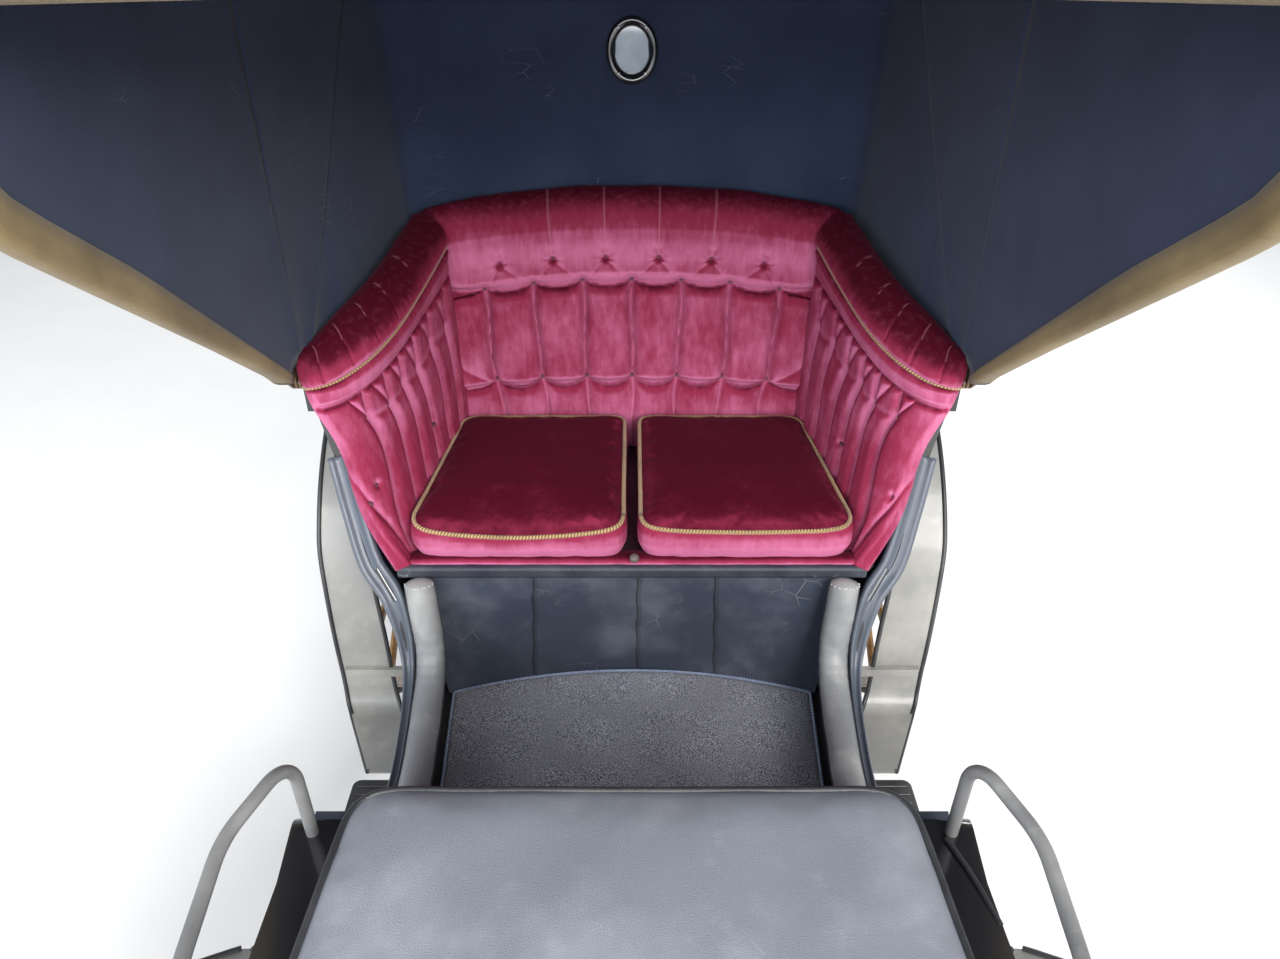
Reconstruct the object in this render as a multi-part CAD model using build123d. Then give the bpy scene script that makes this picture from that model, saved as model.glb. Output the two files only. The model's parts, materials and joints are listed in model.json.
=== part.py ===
"""Open four-wheeled carriage: rounded tub with a folding hood behind, driver's seat in front, one pair of shafts."""
from build123d import *
from math import asin, cos, degrees, radians, sin, tan
import os

# Millimetres, the front of the carriage towards -Y, the left side towards +X, up is +Z.
# The working zero lies on the floor under the front edge of the passenger seat.

# Wheels: radius, height of the hub centre and half track
REAR_WHEEL_RADIUS = 500
FRONT_WHEEL_RADIUS = 380
REAR_HALF_TRACK = 675
FRONT_HALF_TRACK = 655
REAR_AXLE_Y = 620
FRONT_AXLE_Y = -1250
REAR_SPOKES = 14
FRONT_SPOKES = 12
TYRE_WIDTH = 30
TYRE_DEPTH = 20
FELLOE_WIDTH = 38
FELLOE_DEPTH = 40
HUB_IN = 80
HUB_OUT = 92
HUB_RADIUS = 62
HUB_BORE_END = HUB_OUT - 18
WHEEL_DISH = 14
SPOKE_ROOT = 6
SPOKE_TENON = 8
AXLE_ARM_RADIUS = 20
AXLE_ARM_END = HUB_BORE_END - 2
RUNNING_GAP = 0.3

# Axles and elliptic springs
AXLE_THICK = 38
AXLE_CHAMFER = 5
AXLE_COLLAR = 6
COLLAR_RADIUS = 30
SPRING_SEAT_HALF = 55
SPRING_SEAT_SPARE = 4
LEAF_WIDTH = 44
LEAF_THICK = 6.5
LEAF_SHARES = (1.0, 0.8, 0.6, 0.4)
REAR_SPRING_X = 560
REAR_SPRING_LENGTH = 860
REAR_SPRING_CAMBER = 100
FRONT_SPRING_X = 360
FRONT_SPRING_LENGTH = 700
FRONT_SPRING_CAMBER = 84
SPRING_PAD = 8
SPRING_EYE_RADIUS = 15

# Turntable of the fore-carriage
PLATE_RADIUS = 300
PLATE_RIM = 38
PLATE_THICK = 10
PLATE_GAP = 0.5
BED_HALF_WIDTH = 400
BED_DEPTH = 90
BED_THICK = 76
KING_PIN_RADIUS = 11
FUTCHELL_X = 150
FUTCHELL_WIDTH = 38
FUTCHELL_THICK = 44
SPLINTER_Y = FRONT_AXLE_Y - 390
SPLINTER_HALF_WIDTH = 420
SPLINTER_SIZE = 50
LUG_STEP = 17
LUG_HALF = 5
SHAFT_PIN_HALF = 24
POST_RADIUS = 24
POST_TOP = 10
NUT_RADIUS = 19

# Shafts
SHAFT_RADIUS = 22
SHAFT_REACH = 1990
SHAFT_PIN_RADIUS = 9
SHAFT_X = 300
SHAFT_BOW = 42
FERRULE_LENGTH = 60
CROSSBAR_AHEAD = 150
CROSSBAR_RADIUS = 18
SWINGLETREE_HALF = 370
SWINGLETREE_RADIUS = 21
TRACE_PIN_RADIUS = 8
TRACE_PIN_REACH = 75
TRACE_PIN_FROM_END = 22
TRACE_COLLAR_RADIUS = 13
TRACE_COLLAR_REACH = 20
SHAFT_EYE_RADIUS = 16
FERRULE_RADIUS = 26

# Body
WALL = 18
CORNER_RADIUS = 70
LINING = 42
SOFT_GAP = 0.5
FLOOR_TOP = 421
FLOOR_THICK = 26
CARPET_THICK = 9
SEAT_BOARD_TOP = 803
SEAT_BOARD_THICK = 16
SEAT_RAIL_TOP = 816
SEAT_RAIL_DEPTH = 26
CUSHION_TOP = 915
CUSHION_FRONT = 24
CUSHION_BACK = 520
SIDE_THICK = 25
SIDE_FRONT_OF_TUB = -101.5
SIDE_OUTER_X = 503
TOE_IN = 5.5
PANEL = 16
SILL_ROLL_RADIUS = 25

# Driver's seat, footboard and dash
BOOT_FLOOR = 745
BOOT_TOP = 1045
BOOT_BACK_Y = -822
BOOT_FRONT_Y = FRONT_AXLE_Y - 30
DRIVER_CUSHION_TOP = 1130
DRIVER_CUSHION_HALF = 372
DRIVER_CUSHION_CORNER = 48
DRIVER_CUSHION_BACK_Y = BOOT_BACK_Y - 20
DRIVER_CUSHION_FRONT_Y = BOOT_FRONT_Y + 18
DRIVER_BOARD_HALF = 418
DRIVER_BOARD_CORNER = 40
FOOTBOARD_HALF = 352
DASH_HALF_WIDTH = 385
RAIL_ROD_RADIUS = 8

# Fenders and steps
FENDER_RADIUS = 572
FENDER_THICK = 7
FENDER_START = 42
FENDER_SWEEP = 143
FENDER_REACH = 785
STAY_THICK = 8
FENDER_IN = 604
FENDER_OUT = 724
FENDER_TOE = (500, 607)
FRONT_FENDER_IN = 500
FRONT_FENDER_OUT = 705
STEP_Z = 330

# Hood
PIVOT_Y = 105
PIVOT_Z = 1205
PIVOT_PIN_RADIUS = 7
BOW_THICK = 16
BOW_WIDTH = 22
IRON_THICK = 5
IRON_WIDTH = 24
IRON_LENGTH = 230
IRON_GAP = 3
FIRST_IRON_X = 678.5
BAND_START = 210
BOW_CORNER = 130
BOW_CROWN = 26
SKIN = 5
SKIN_CLEAR = 1
SKIN_BASE = 60
SKIN_BASE_X = 703
SKIN_SEAM_GAP = 0.03
WINDOW_Z = 1750
WINDOW_Y = 734
WINDOW_HALF = (60, 68.5)
GLASS_HALF = (40.5, 50)
BEZEL_THICK = 9

# A spoke from hub to felloe: share of its length, corner radius of its eight-sided section
SPOKE_SECTIONS = ((0.0, 17), (0.22, 14), (0.62, 10.5), (1.0, 12))

# Half of the turned swingletree, from its middle: distance along it, radius
SWINGLETREE_HALF_OUTLINE = ((0, 21), (235, 18), (300, 15), (304, 17.5), (312, 17.5), (316, 15), (366, 14.5), (370, 11))

# The hood's bows, from back to front
BOWS = (
    # name, angle above the forward horizontal, reach, half width at the top, leg x at its iron
    ("rear", 123, 1134, 600, 684),
    ("mid", 87, 1040, 660, 691),
    ("front", 43, 1180, 730, 699),
)

# Inner outlines of the leather at each bow and along the rim of the tub
HOOD_ARCHES = {
    # name: angle, reach, half width at the top, x at the knee, reach of the knee, corner radius, crown
    name: (angle, reach + SKIN_CLEAR, half_top + SKIN_CLEAR, SKIN_BASE_X, 330, BOW_CORNER, BOW_CROWN)
    for name, angle, reach, half_top, _ in BOWS
}
HOOD_ARCHES["rim"] = (163.2, 690, 566, 640, 190, 80, 60)
SKIN_PAIRS = {
    "hood_skin_front": ("front", "mid"),
    "hood_skin_mid": ("mid", "rear"),
    "hood_skin_back": ("rear", "rim"),
}

# The tub in plan, from the floor to its rim
TUB_LEVELS = (
    # height, front y, front x, flare x, flare y, corner x, corner y, back y on the centre line
    (360, -100, 492, 478, 60, 415, 350, 385),
    (600, -100, 503, 488, 60, 443, 490, 520),
    (740, -30, 540, 510, 110, 463, 570, 610),
    (805, 0, 580, 526, 140, 473, 602, 652),
    (1020, 95, 636, 565, 230, 500, 650, 700),
    (1240, 90, 670, 590, 230, 525, 662, 728),
    (1430, 90, 682, 604, 230, 545, 672, 742),
)

# Height of the wooden rim along the tub
RIM_LINE = ((-300, 1216), (90, 1216), (180, 1262), (360, 1312), (620, 1366), (900, 1392))

pieces = {}


def keep(name, *shapes):
    """One named piece, or several like ones that don't touch."""
    pieces[name] = [solid for shape in shapes for solid in shape.solids()]


def both_sides(shape):
    """The left piece and its mirror image."""
    return shape, mirror(shape, about=Plane.YZ)


def keep_sides(name, shape):
    """The left piece and its mirror image as two named pieces."""
    left, right = both_sides(shape)
    keep(name + "_left", left)
    keep(name + "_right", right)


def side_prism(points, x_from, x_to, radius=0):
    """A side-view outline of (y, z) points pushed sideways."""
    if radius:
        outline = FilletPolyline(*points, radius=radius, close=True)
    else:
        outline = Polyline(*points, close=True)
    face = Plane.YZ.offset(x_from) * make_face(outline)
    return extrude(face, amount=x_to - x_from, dir=(1, 0, 0))


def plan_prism(points, z_from, z_to, radius=0):
    """A plan outline of (x, y) points pushed upwards."""
    if radius:
        outline = FilletPolyline(*points, radius=radius, close=True)
    else:
        outline = Polyline(*points, close=True)
    return extrude(Pos(0, 0, z_from) * make_face(outline), amount=z_to - z_from, dir=(0, 0, 1))


def block(x_from, x_to, y_from, y_to, z_from, z_to):
    """A square-edged block between two corners."""
    centre = Pos((x_from + x_to) / 2, (y_from + y_to) / 2, (z_from + z_to) / 2)
    return centre * Box(x_to - x_from, y_to - y_from, z_to - z_from)


def rod_x(y, z, radius, x_from, x_to):
    """A round bar that lies across the carriage."""
    return Pos((x_from + x_to) / 2, y, z) * Rot(0, 90, 0) * Cylinder(radius, abs(x_to - x_from))


def turned(profile):
    """An (x, radius) outline turned about the X axis."""
    return revolve(make_face(Polyline(*profile, close=True)), Axis.X)


def bent_rod(points, bends, radius):
    """A round rod bent along straight runs."""
    path = FilletPolyline(*points, radius=bends)
    return sweep(Plane(origin=path @ 0, z_dir=path % 0) * Circle(radius), path=path)


def wheel(radius, spokes):
    """Hub, tapered spokes and felloe of one left wheel, its axle along X."""
    rim_in = radius - TYRE_DEPTH - FELLOE_DEPTH
    half = FELLOE_WIDTH / 2
    felloe = turned((
        (-half, rim_in + 6), (6 - half, rim_in), (half - 6, rim_in), (half, rim_in + 6),
        (half, radius - TYRE_DEPTH), (-half, radius - TYRE_DEPTH),
    ))
    hub = turned((
        (-HUB_IN, 0), (-HUB_IN, 40), (-HUB_IN + 12, 46), (-HUB_IN + 24, 46), (-40, 52), (-34, HUB_RADIUS),
        (20, HUB_RADIUS), (26, 50), (50, 44), (60, 44), (64, 34), (HUB_OUT - 6, 32), (HUB_OUT, 26), (HUB_OUT, 0),
    ))
    root, tip = HUB_RADIUS - SPOKE_ROOT, rim_in + SPOKE_TENON
    sections = []
    for share, corner in SPOKE_SECTIONS:
        sections.append(Pos(-WHEEL_DISH * (1 - share), 0, root + (tip - root) * share) * RegularPolygon(corner, 8))
    blade = loft(sections, ruled=True)
    blades = [Rot(360 * index / spokes, 0, 0) * blade for index in range(spokes)]
    bore = rod_x(0, 0, AXLE_ARM_RADIUS + RUNNING_GAP, -HUB_IN - 1, HUB_BORE_END)
    return hub.fuse(felloe, *blades) - bore


def tyre(radius):
    """Rubber tyre with a rounded tread."""
    half = TYRE_WIDTH / 2
    return turned((
        (-half, radius - TYRE_DEPTH + RUNNING_GAP), (-half, radius - 9), (-half + 6, radius - 2), (-4, radius),
        (4, radius), (half - 6, radius - 2), (half, radius - 9), (half, radius - TYRE_DEPTH + RUNNING_GAP),
    ))


def add_wheels(end, radius, spokes, half_track, axle_y):
    """Both wheels of one axle and their tyres."""
    place = Pos(half_track, axle_y, radius)
    keep_sides("wheel_" + end, place * wheel(radius, spokes))
    keep_sides("tyre_" + end, place * tyre(radius))


def axle(radius, half_track, axle_y, spring_x):
    """Square axle with collars, round arms and seats for the springs."""
    end = half_track - HUB_IN - 1
    half = AXLE_THICK / 2
    bar = chamfer(block(-end, end, axle_y - half, axle_y + half, radius - half, radius + half)
                  .edges().filter_by(Axis.X), AXLE_CHAMFER)
    arms = []
    for side in (-1, 1):
        tip = half_track + AXLE_ARM_END
        arms.append(rod_x(axle_y, radius, AXLE_ARM_RADIUS, side * end, side * tip))
        arms.append(rod_x(axle_y, radius, COLLAR_RADIUS, side * (end - AXLE_COLLAR), side * end))
        seat_half = LEAF_WIDTH / 2 + SPRING_SEAT_SPARE
        inner, outer = sorted((side * (spring_x - seat_half), side * min(spring_x + seat_half, end - AXLE_COLLAR)))
        arms.append(block(inner, outer, axle_y - SPRING_SEAT_HALF, axle_y + SPRING_SEAT_HALF, radius + half - 1,
                          radius + half + SPRING_PAD))
    return bar.fuse(*arms)


def half_spring(length, camber, upwards):
    """Side view of the leaves on one side of an elliptic spring, the eyes at zero height."""
    reach = length / 2
    bend = (reach * reach + camber * camber) / (2 * camber)
    sign = 1 if upwards else -1
    centre = (0, sign * (camber - bend))
    middle = 90 if upwards else -90
    leaves = Sketch()
    for index, share in enumerate(LEAF_SHARES):
        inside = bend + index * LEAF_THICK
        outside = inside + LEAF_THICK
        swing = degrees(asin(reach * share / bend))
        near = CenterArc(centre, inside, middle - swing, 2 * swing)
        far = CenterArc(centre, outside, middle - swing, 2 * swing)
        leaves += make_face([near, far, Line(near @ 0, far @ 0), Line(near @ 1, far @ 1)])
    return leaves


def elliptic_spring(spring_x, axle_y, axle_z, length, camber):
    """Two halves of stepped leaves, joined at an eye at each end."""
    pack = LEAF_THICK * len(LEAF_SHARES)
    eye_z = axle_z + AXLE_THICK / 2 + SPRING_PAD + pack + camber
    outline = half_spring(length, camber, True) + half_spring(length, camber, False)
    for end in (-1, 1):
        outline += Pos(end * length / 2, 0) * Circle(SPRING_EYE_RADIUS)
    body = extrude(Plane.YZ * outline, amount=LEAF_WIDTH / 2, both=True)
    return Pos(spring_x, axle_y, eye_z) * body


def spring_top(axle_z, camber):
    """Height of the upper face of an elliptic spring."""
    return axle_z + AXLE_THICK / 2 + SPRING_PAD + 2 * (LEAF_THICK * len(LEAF_SHARES) + camber)


def tub_level(level, inset, front_step, lift):
    """Plan outline of the tub at one height, moved in from its outer face."""
    z, front_y, front_x, flare_x, flare_y, corner_x, corner_y, back_y = level
    radius = max(CORNER_RADIUS - inset, 14)
    front = (front_x - inset, front_y - front_step)
    flare = (flare_x - inset, flare_y)
    bend = ((front[0] + flare[0]) / 2 - 7, (front[1] + flare[1]) / 2)
    corner = (corner_x - inset, corner_y - inset)
    side_end = (corner[0], corner[1] - radius)
    back_start = (corner[0] - radius, corner[1])
    slant = radius * (1 - cos(radians(45)))
    knuckle = (corner[0] - slant, corner[1] - slant)
    half = [
        ThreePointArc(front, bend, flare),
        Line(flare, side_end),
        ThreePointArc(side_end, knuckle, back_start),
    ]
    other = [mirror(edge, about=Plane.YZ) for edge in half]
    back = ThreePointArc(back_start, (0, back_y - inset), (-back_start[0], back_start[1]))
    close = Line(front, (-front[0], front[1]))
    return Pos(0, 0, z + lift) * make_face(half + [back] + other + [close])


def tub_form(inset, front_step=0):
    """The tub's outer form, or the same form a wall's thickness further in."""
    last = len(TUB_LEVELS) - 1
    spread = 2 if inset else 0
    faces = []
    for index, level in enumerate(TUB_LEVELS):
        lift = -spread if index == 0 else spread if index == last else 0
        faces.append(tub_level(level, inset, front_step, lift))
    return loft(faces, ruled=True)


def above_rim(rise):
    """All that lies above the rim line, raised by rise."""
    line = [(y, z + rise) for y, z in RIM_LINE]
    closing = [(RIM_LINE[-1][0], 1700), (RIM_LINE[0][0], 1700)]
    return side_prism(line + closing, -800, 800)


def behind_corners():
    """All that lies behind the joint between a side and the back of the tub."""
    line = [(level[6] - CORNER_RADIUS - 4, level[0]) for level in TUB_LEVELS]
    bottom = (line[0][0], 300)
    top = (line[-1][0], 1500)
    return side_prism([bottom] + line + [top, (1000, 1500), (1000, 300)], -800, 800)


def tub_pieces():
    """Two sides and a back of one wall thickness, with an upholstered lining inside."""
    outer = tub_form(0)
    wall = outer - tub_form(WALL, 6) - above_rim(0)
    back_zone = behind_corners()
    keep("tub_back", wall & back_zone)
    sides = wall - back_zone
    for solid in sides.solids():
        keep("tub_side_left" if solid.center().X > 0 else "tub_side_right", solid)

    inside = tub_form(WALL + SOFT_GAP, 6) & outer
    hollow = tub_form(WALL + LINING, 6)
    padding = inside - hollow - above_rim(12)
    roll_ring = outer - tub_form(WALL + LINING + 16, 6)
    roll = (roll_ring & above_rim(SOFT_GAP)) - above_rim(26)
    seat_zone = block(-800, 800, -300, 1000, 0, SEAT_BOARD_TOP + SOFT_GAP)
    rail_back = SEAT_RAIL_DEPTH - 13
    front_cut = side_prism([(-300, 700), (rail_back, 700), (rail_back, SEAT_RAIL_TOP), (100, 1030), (100, 1700),
                            (-300, 1700)], -800, 800)
    lining = padding.fuse(roll) - seat_zone - front_cut
    back_lining = lining & back_zone
    backrest = side_prism([(528, SEAT_BOARD_TOP + SOFT_GAP), (545, 930), (640, 1380), (800, 1380),
                           (800, SEAT_BOARD_TOP + SOFT_GAP)], -800, 800)
    back_core = (hollow & backrest & back_zone) - above_rim(0)
    keep("back_squab", back_lining.fuse(back_core))
    slit = Pos(0, -SOFT_GAP, 0) * back_zone
    for solid in (lining - slit).solids():
        if solid.volume > 1e5:
            keep("arm_squab_left" if solid.center().X > 0 else "arm_squab_right", solid)
    return outer, wall


def inner_x(y):
    """Inner face of a side panel at one station."""
    return SIDE_OUTER_X - SIDE_THICK + (y - SIDE_FRONT_OF_TUB) * tan(radians(TOE_IN))


def side_panels():
    """Low sides of the footwell, which rise in front to carry the driver's seat."""
    outline = [
        (SIDE_FRONT_OF_TUB, 360), (-440, 360), (-572, 440), (-690, 640), (-800, BOOT_FLOOR), (BOOT_FRONT_Y, BOOT_FLOOR),
        (BOOT_FRONT_Y, BOOT_TOP), (BOOT_BACK_Y, BOOT_TOP), (-700, 850), (-560, 640), (-400, 556), (-260, 546),
        (-170, 560), (SIDE_FRONT_OF_TUB, 598),
    ]
    bends = [0, 60, 120, 160, 90, 12, 12, 30, 200, 160, 120, 300, 100, 0]
    slab = side_prism(outline, SIDE_OUTER_X - SIDE_THICK, SIDE_OUTER_X, bends)
    hinge = (SIDE_OUTER_X - SIDE_THICK, SIDE_FRONT_OF_TUB, 0)
    turned_in = Pos(*hinge) * Rot(0, 0, -TOE_IN) * Pos(-hinge[0], -hinge[1], 0) * slab
    keep_sides("side_panel", turned_in)
    return turned_in


def between_sides(gap=0.0):
    """Everything between the two side panels."""
    rear, front = SIDE_FRONT_OF_TUB, BOOT_FRONT_Y - 200
    points = [(inner_x(rear) - gap, rear), (inner_x(front) - gap, front)]
    corners = points + [(-x, y) for x, y in reversed(points)]
    return plan_prism(corners, 300, 1400)


def floor_pieces(wall):
    """Bottom boards, toe panel, heelboard, carpet and the passenger seat's rail and board."""
    under = FLOOR_TOP - FLOOR_THICK
    front_half = plan_prism([(inner_x(-452), -452), (inner_x(-102), -102), (474, -100), (458, 60), (392, 330),
                             (370, 352), (-370, 352), (-392, 330), (-458, 60), (-474, -100),
                             (-inner_x(-102), -102), (-inner_x(-452), -452)], under, FLOOR_TOP)
    keep("bottom_boards", front_half - wall)
    toe = [(-453, under), (-453, FLOOR_TOP), (-560, 500), (-676, 668), (-790, 772), (-808, 1040), (-822, 1040),
           (-806, 766), (-690, 652), (-575, 486), (-470, under)]
    toe_prism = side_prism(toe, -520, 520, [0, 0, 90, 150, 20, 0, 0, 20, 150, 90, 0])
    keep("toe_panel", toe_prism & between_sides())

    heel_low = FLOOR_TOP + CARPET_THICK
    heel_top = SEAT_RAIL_TOP - 30
    sections = []
    for z, sag, half in ((heel_low, 82, 440), (heel_top, 4, 478)):
        near = ThreePointArc((half, -5), (0, sag - 5), (-half, -5))
        far = ThreePointArc((half, 9), (0, sag + 9), (-half, 9))
        sections.append(Pos(0, 0, z) * make_face([near, far, Line(near @ 0, far @ 0), Line(near @ 1, far @ 1)]))
    keep("heelboard", loft(sections, ruled=True))

    edge = ThreePointArc((440, -6), (0, 76), (-440, -6))
    carpet_side = [Line((440, -6), (440, -100)), Line((440, -100), (inner_x(-450) - 2, -450))]
    carpet_other = [mirror(edge_line, about=Plane.YZ) for edge_line in carpet_side]
    front = Line((inner_x(-450) - 2, -450), (-inner_x(-450) + 2, -450))
    carpet = make_face([edge] + carpet_side + [front] + carpet_other)
    keep("floor_carpet", extrude(Pos(0, 0, FLOOR_TOP) * carpet, amount=CARPET_THICK, dir=(0, 0, 1)))

    rail = block(-512, 512, -14, -14 + SEAT_RAIL_DEPTH, heel_top, SEAT_RAIL_TOP)
    rail = fillet(rail.edges().filter_by(Axis.X), 9)
    outer = tub_form(WALL, 60)
    keep("seat_rail", rail & outer)
    board = block(-560, 560, -13 + SEAT_RAIL_DEPTH, 560, SEAT_BOARD_TOP - SEAT_BOARD_THICK, SEAT_BOARD_TOP)
    keep("seat_board", board & outer)


def sill_rolls():
    """Stuffed leather rolls along the inner top edge of the footwell's sides."""
    radius = SILL_ROLL_RADIUS
    path = [(472, -42, 770), (464, -60, 690), (454, -98, 616)]
    for y, z in ((-165, 570), (-270, 549), (-392, 560), (-480, 606)):
        path.append((inner_x(y) - radius - RUNNING_GAP, y, z))
    roll = bent_rod(path, [90, 110, 150, 220, 130], radius)
    keep("sill_rolls", *both_sides(roll))


def cushions():
    """Two seat cushions side by side and the driver's cushion, plain blocks with rounded edges."""
    outline = [(4, CUSHION_FRONT), (486, CUSHION_FRONT), (432, CUSHION_BACK), (4, CUSHION_BACK)]
    pad = plan_prism(outline, SEAT_BOARD_TOP + SOFT_GAP, CUSHION_TOP, 24)
    pad = fillet(pad.faces().sort_by(Axis.Z)[-1].edges(), 16)
    keep_sides("seat_cushion", pad & tub_form(WALL + LINING + 1, 60))
    half = DRIVER_CUSHION_HALF
    seat = plan_prism([(-half, DRIVER_CUSHION_FRONT_Y), (half, DRIVER_CUSHION_FRONT_Y),
                       (half, DRIVER_CUSHION_BACK_Y), (-half, DRIVER_CUSHION_BACK_Y)],
                      BOOT_TOP + PANEL + SOFT_GAP, DRIVER_CUSHION_TOP, DRIVER_CUSHION_CORNER)
    keep("driver_cushion", fillet(seat.faces().sort_by(Axis.Z)[-1].edges(), 18))


def driver_seat():
    """Boot under the driver's seat, its seat board and side rails, the footboard and the dash."""
    back, front = BOOT_BACK_Y - 1, BOOT_FRONT_Y
    shell = [(back, 1040), (back, BOOT_FLOOR), (front, BOOT_FLOOR), (front, BOOT_TOP), (front + PANEL, BOOT_TOP),
             (front + PANEL, BOOT_FLOOR + PANEL), (back - PANEL, BOOT_FLOOR + PANEL), (back - PANEL, 1040)]
    keep("driver_boot", side_prism(shell, -520, 520) & between_sides())
    board = block(-DRIVER_BOARD_HALF, DRIVER_BOARD_HALF, front - 6, DRIVER_CUSHION_BACK_Y + 6, BOOT_TOP,
                  BOOT_TOP + PANEL)
    keep("driver_seat_board", fillet(board.edges().filter_by(Axis.Z), DRIVER_BOARD_CORNER))

    post_z = BOOT_TOP + PANEL
    rear_post, front_post = back - 32, front + 65
    rail = bent_rod([(396, rear_post, post_z), (396, rear_post, 1200), (430, rear_post - 115, 1205),
                     (420, front_post + 115, 1200), (402, front_post, 1180), (402, front_post, post_z)],
                    [46, 150, 200, 50], RAIL_ROD_RADIUS)
    keep("driver_rails", *both_sides(rail))

    foot = [(0, BOOT_FLOOR + 20), (-50, 770), (-280, 792), (-490, 930), (-498, 918), (-286, 776), (-54, 754),
            (0, BOOT_FLOOR)]
    foot = [(front + y, z) for y, z in foot]
    keep("footboard", side_prism(foot, -FOOTBOARD_HALF, FOOTBOARD_HALF, [0, 30, 120, 0, 0, 120, 30, 0]))
    lean = [(-501, 915), (-516, 1060), (-562, 1235), (-552, 1238), (-506, 1062), (-492, 928)]
    lean = [(front + y, z) for y, z in lean]
    dash = side_prism(lean, -DASH_HALF_WIDTH, DASH_HALF_WIDTH, [0, 300, 0, 0, 300, 0])
    keep("dashboard", dash)


def fenders(tub_outer, side_panel):
    """Wings over the wheels, with the irons and steps that carry them."""
    centre = (REAR_AXLE_Y, REAR_WHEEL_RADIUS)
    inner_arc = CenterArc(centre, FENDER_RADIUS, FENDER_START, FENDER_SWEEP)
    outer_arc = CenterArc(centre, FENDER_RADIUS + FENDER_THICK, FENDER_START, FENDER_SWEEP)
    inner_end, outer_end = inner_arc @ 1, outer_arc @ 1
    foot_y = REAR_AXLE_Y - FENDER_REACH
    toe_in = [(inner_end.X, inner_end.Y), (inner_end.X - 18, STEP_Z + 22), (foot_y, STEP_Z + 4)]
    toe_out = [(outer_end.X, outer_end.Y), (outer_end.X - 14, STEP_Z + 32), (foot_y, STEP_Z + 4 + FENDER_THICK)]
    low = FilletPolyline(*toe_in, radius=[60])
    high = FilletPolyline(*toe_out, radius=[54])
    outline = make_face([inner_arc, low, Line(toe_in[-1], toe_out[-1]), high, Line(inner_arc @ 0, outer_arc @ 0),
                         outer_arc])
    band = extrude(Plane.YZ.offset(440) * outline, amount=320, dir=(1, 0, 0))
    front_y = REAR_AXLE_Y - FENDER_RADIUS
    plan = [(FENDER_IN, 1400), (FENDER_IN, front_y + 30), (FENDER_IN - 46, front_y - 58), (FENDER_TOE[0], foot_y - 10),
            (FENDER_TOE[1], foot_y - 10), (FENDER_OUT - 24, front_y - 28), (FENDER_OUT, front_y + 60),
            (FENDER_OUT, 1400)]
    rear_fender = band & plan_prism(plan, 300, 1200, [0, 80, 60, 0, 0, 90, 120, 0])
    keep_sides("rear_fender", rear_fender)

    top = REAR_WHEEL_RADIUS + FENDER_RADIUS - RUNNING_GAP
    stay = block(430, FENDER_OUT - 12, REAR_AXLE_Y - 14, REAR_AXLE_Y + 14, top - STAY_THICK, top)
    front_of_fender = REAR_AXLE_Y - FENDER_RADIUS - FENDER_THICK
    low_stay = block(480, FENDER_OUT - 30, front_of_fender - 13, front_of_fender + RUNNING_GAP, 452, 474)
    irons = [stay - tub_outer, low_stay - tub_outer]
    front_arc = [(400, 812), (300, 862), (100, 890), (-150, 868), (-350, 800), (-354, 807), (-152, 876), (100, 898),
                 (302, 870), (404, 819)]
    front_arc = [(FRONT_AXLE_Y + y, z) for y, z in front_arc]
    front_band = side_prism(front_arc, FRONT_FENDER_IN, FRONT_FENDER_OUT, [0, 160, 900, 160, 0, 0, 160, 900, 160, 0])
    front_plan = [(FRONT_FENDER_IN, FRONT_AXLE_Y - 360), (FRONT_FENDER_OUT, FRONT_AXLE_Y - 360),
                  (FRONT_FENDER_OUT, FRONT_AXLE_Y + 272), (FRONT_FENDER_IN, FRONT_AXLE_Y + 400)]
    front_fender = front_band & plan_prism(front_plan, 700, 1000, [0, 60, 70, 24])
    keep("front_fenders", *both_sides(front_fender))
    for y in (FRONT_AXLE_Y + 230, FRONT_AXLE_Y - 60):
        under = (front_fender & block(0, 800, y - 13, y + 13, 700, 1000)).bounding_box().min.Z - RUNNING_GAP
        arm = block(inner_x(y) + 10, FRONT_FENDER_OUT - 20, y - 13, y + 13, under - STAY_THICK, under)
        irons.append(arm - side_panel)
    all_irons = [item for iron in irons for item in both_sides(iron)]
    keep("fender_irons", *all_irons)

    step = plan_prism([(512, -330), (640, -330), (640, -180), (512, -180)], STEP_Z - 8, STEP_Z, 18)
    hanger = Plane.XZ.offset(240) * make_face(Polyline((446, 359.5), (480, 359.5), (530, STEP_Z), (512, STEP_Z - 8),
                                                       (446, 346), close=True))
    keep("steps", *both_sides(step.fuse(extrude(hanger, amount=30))))


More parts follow.
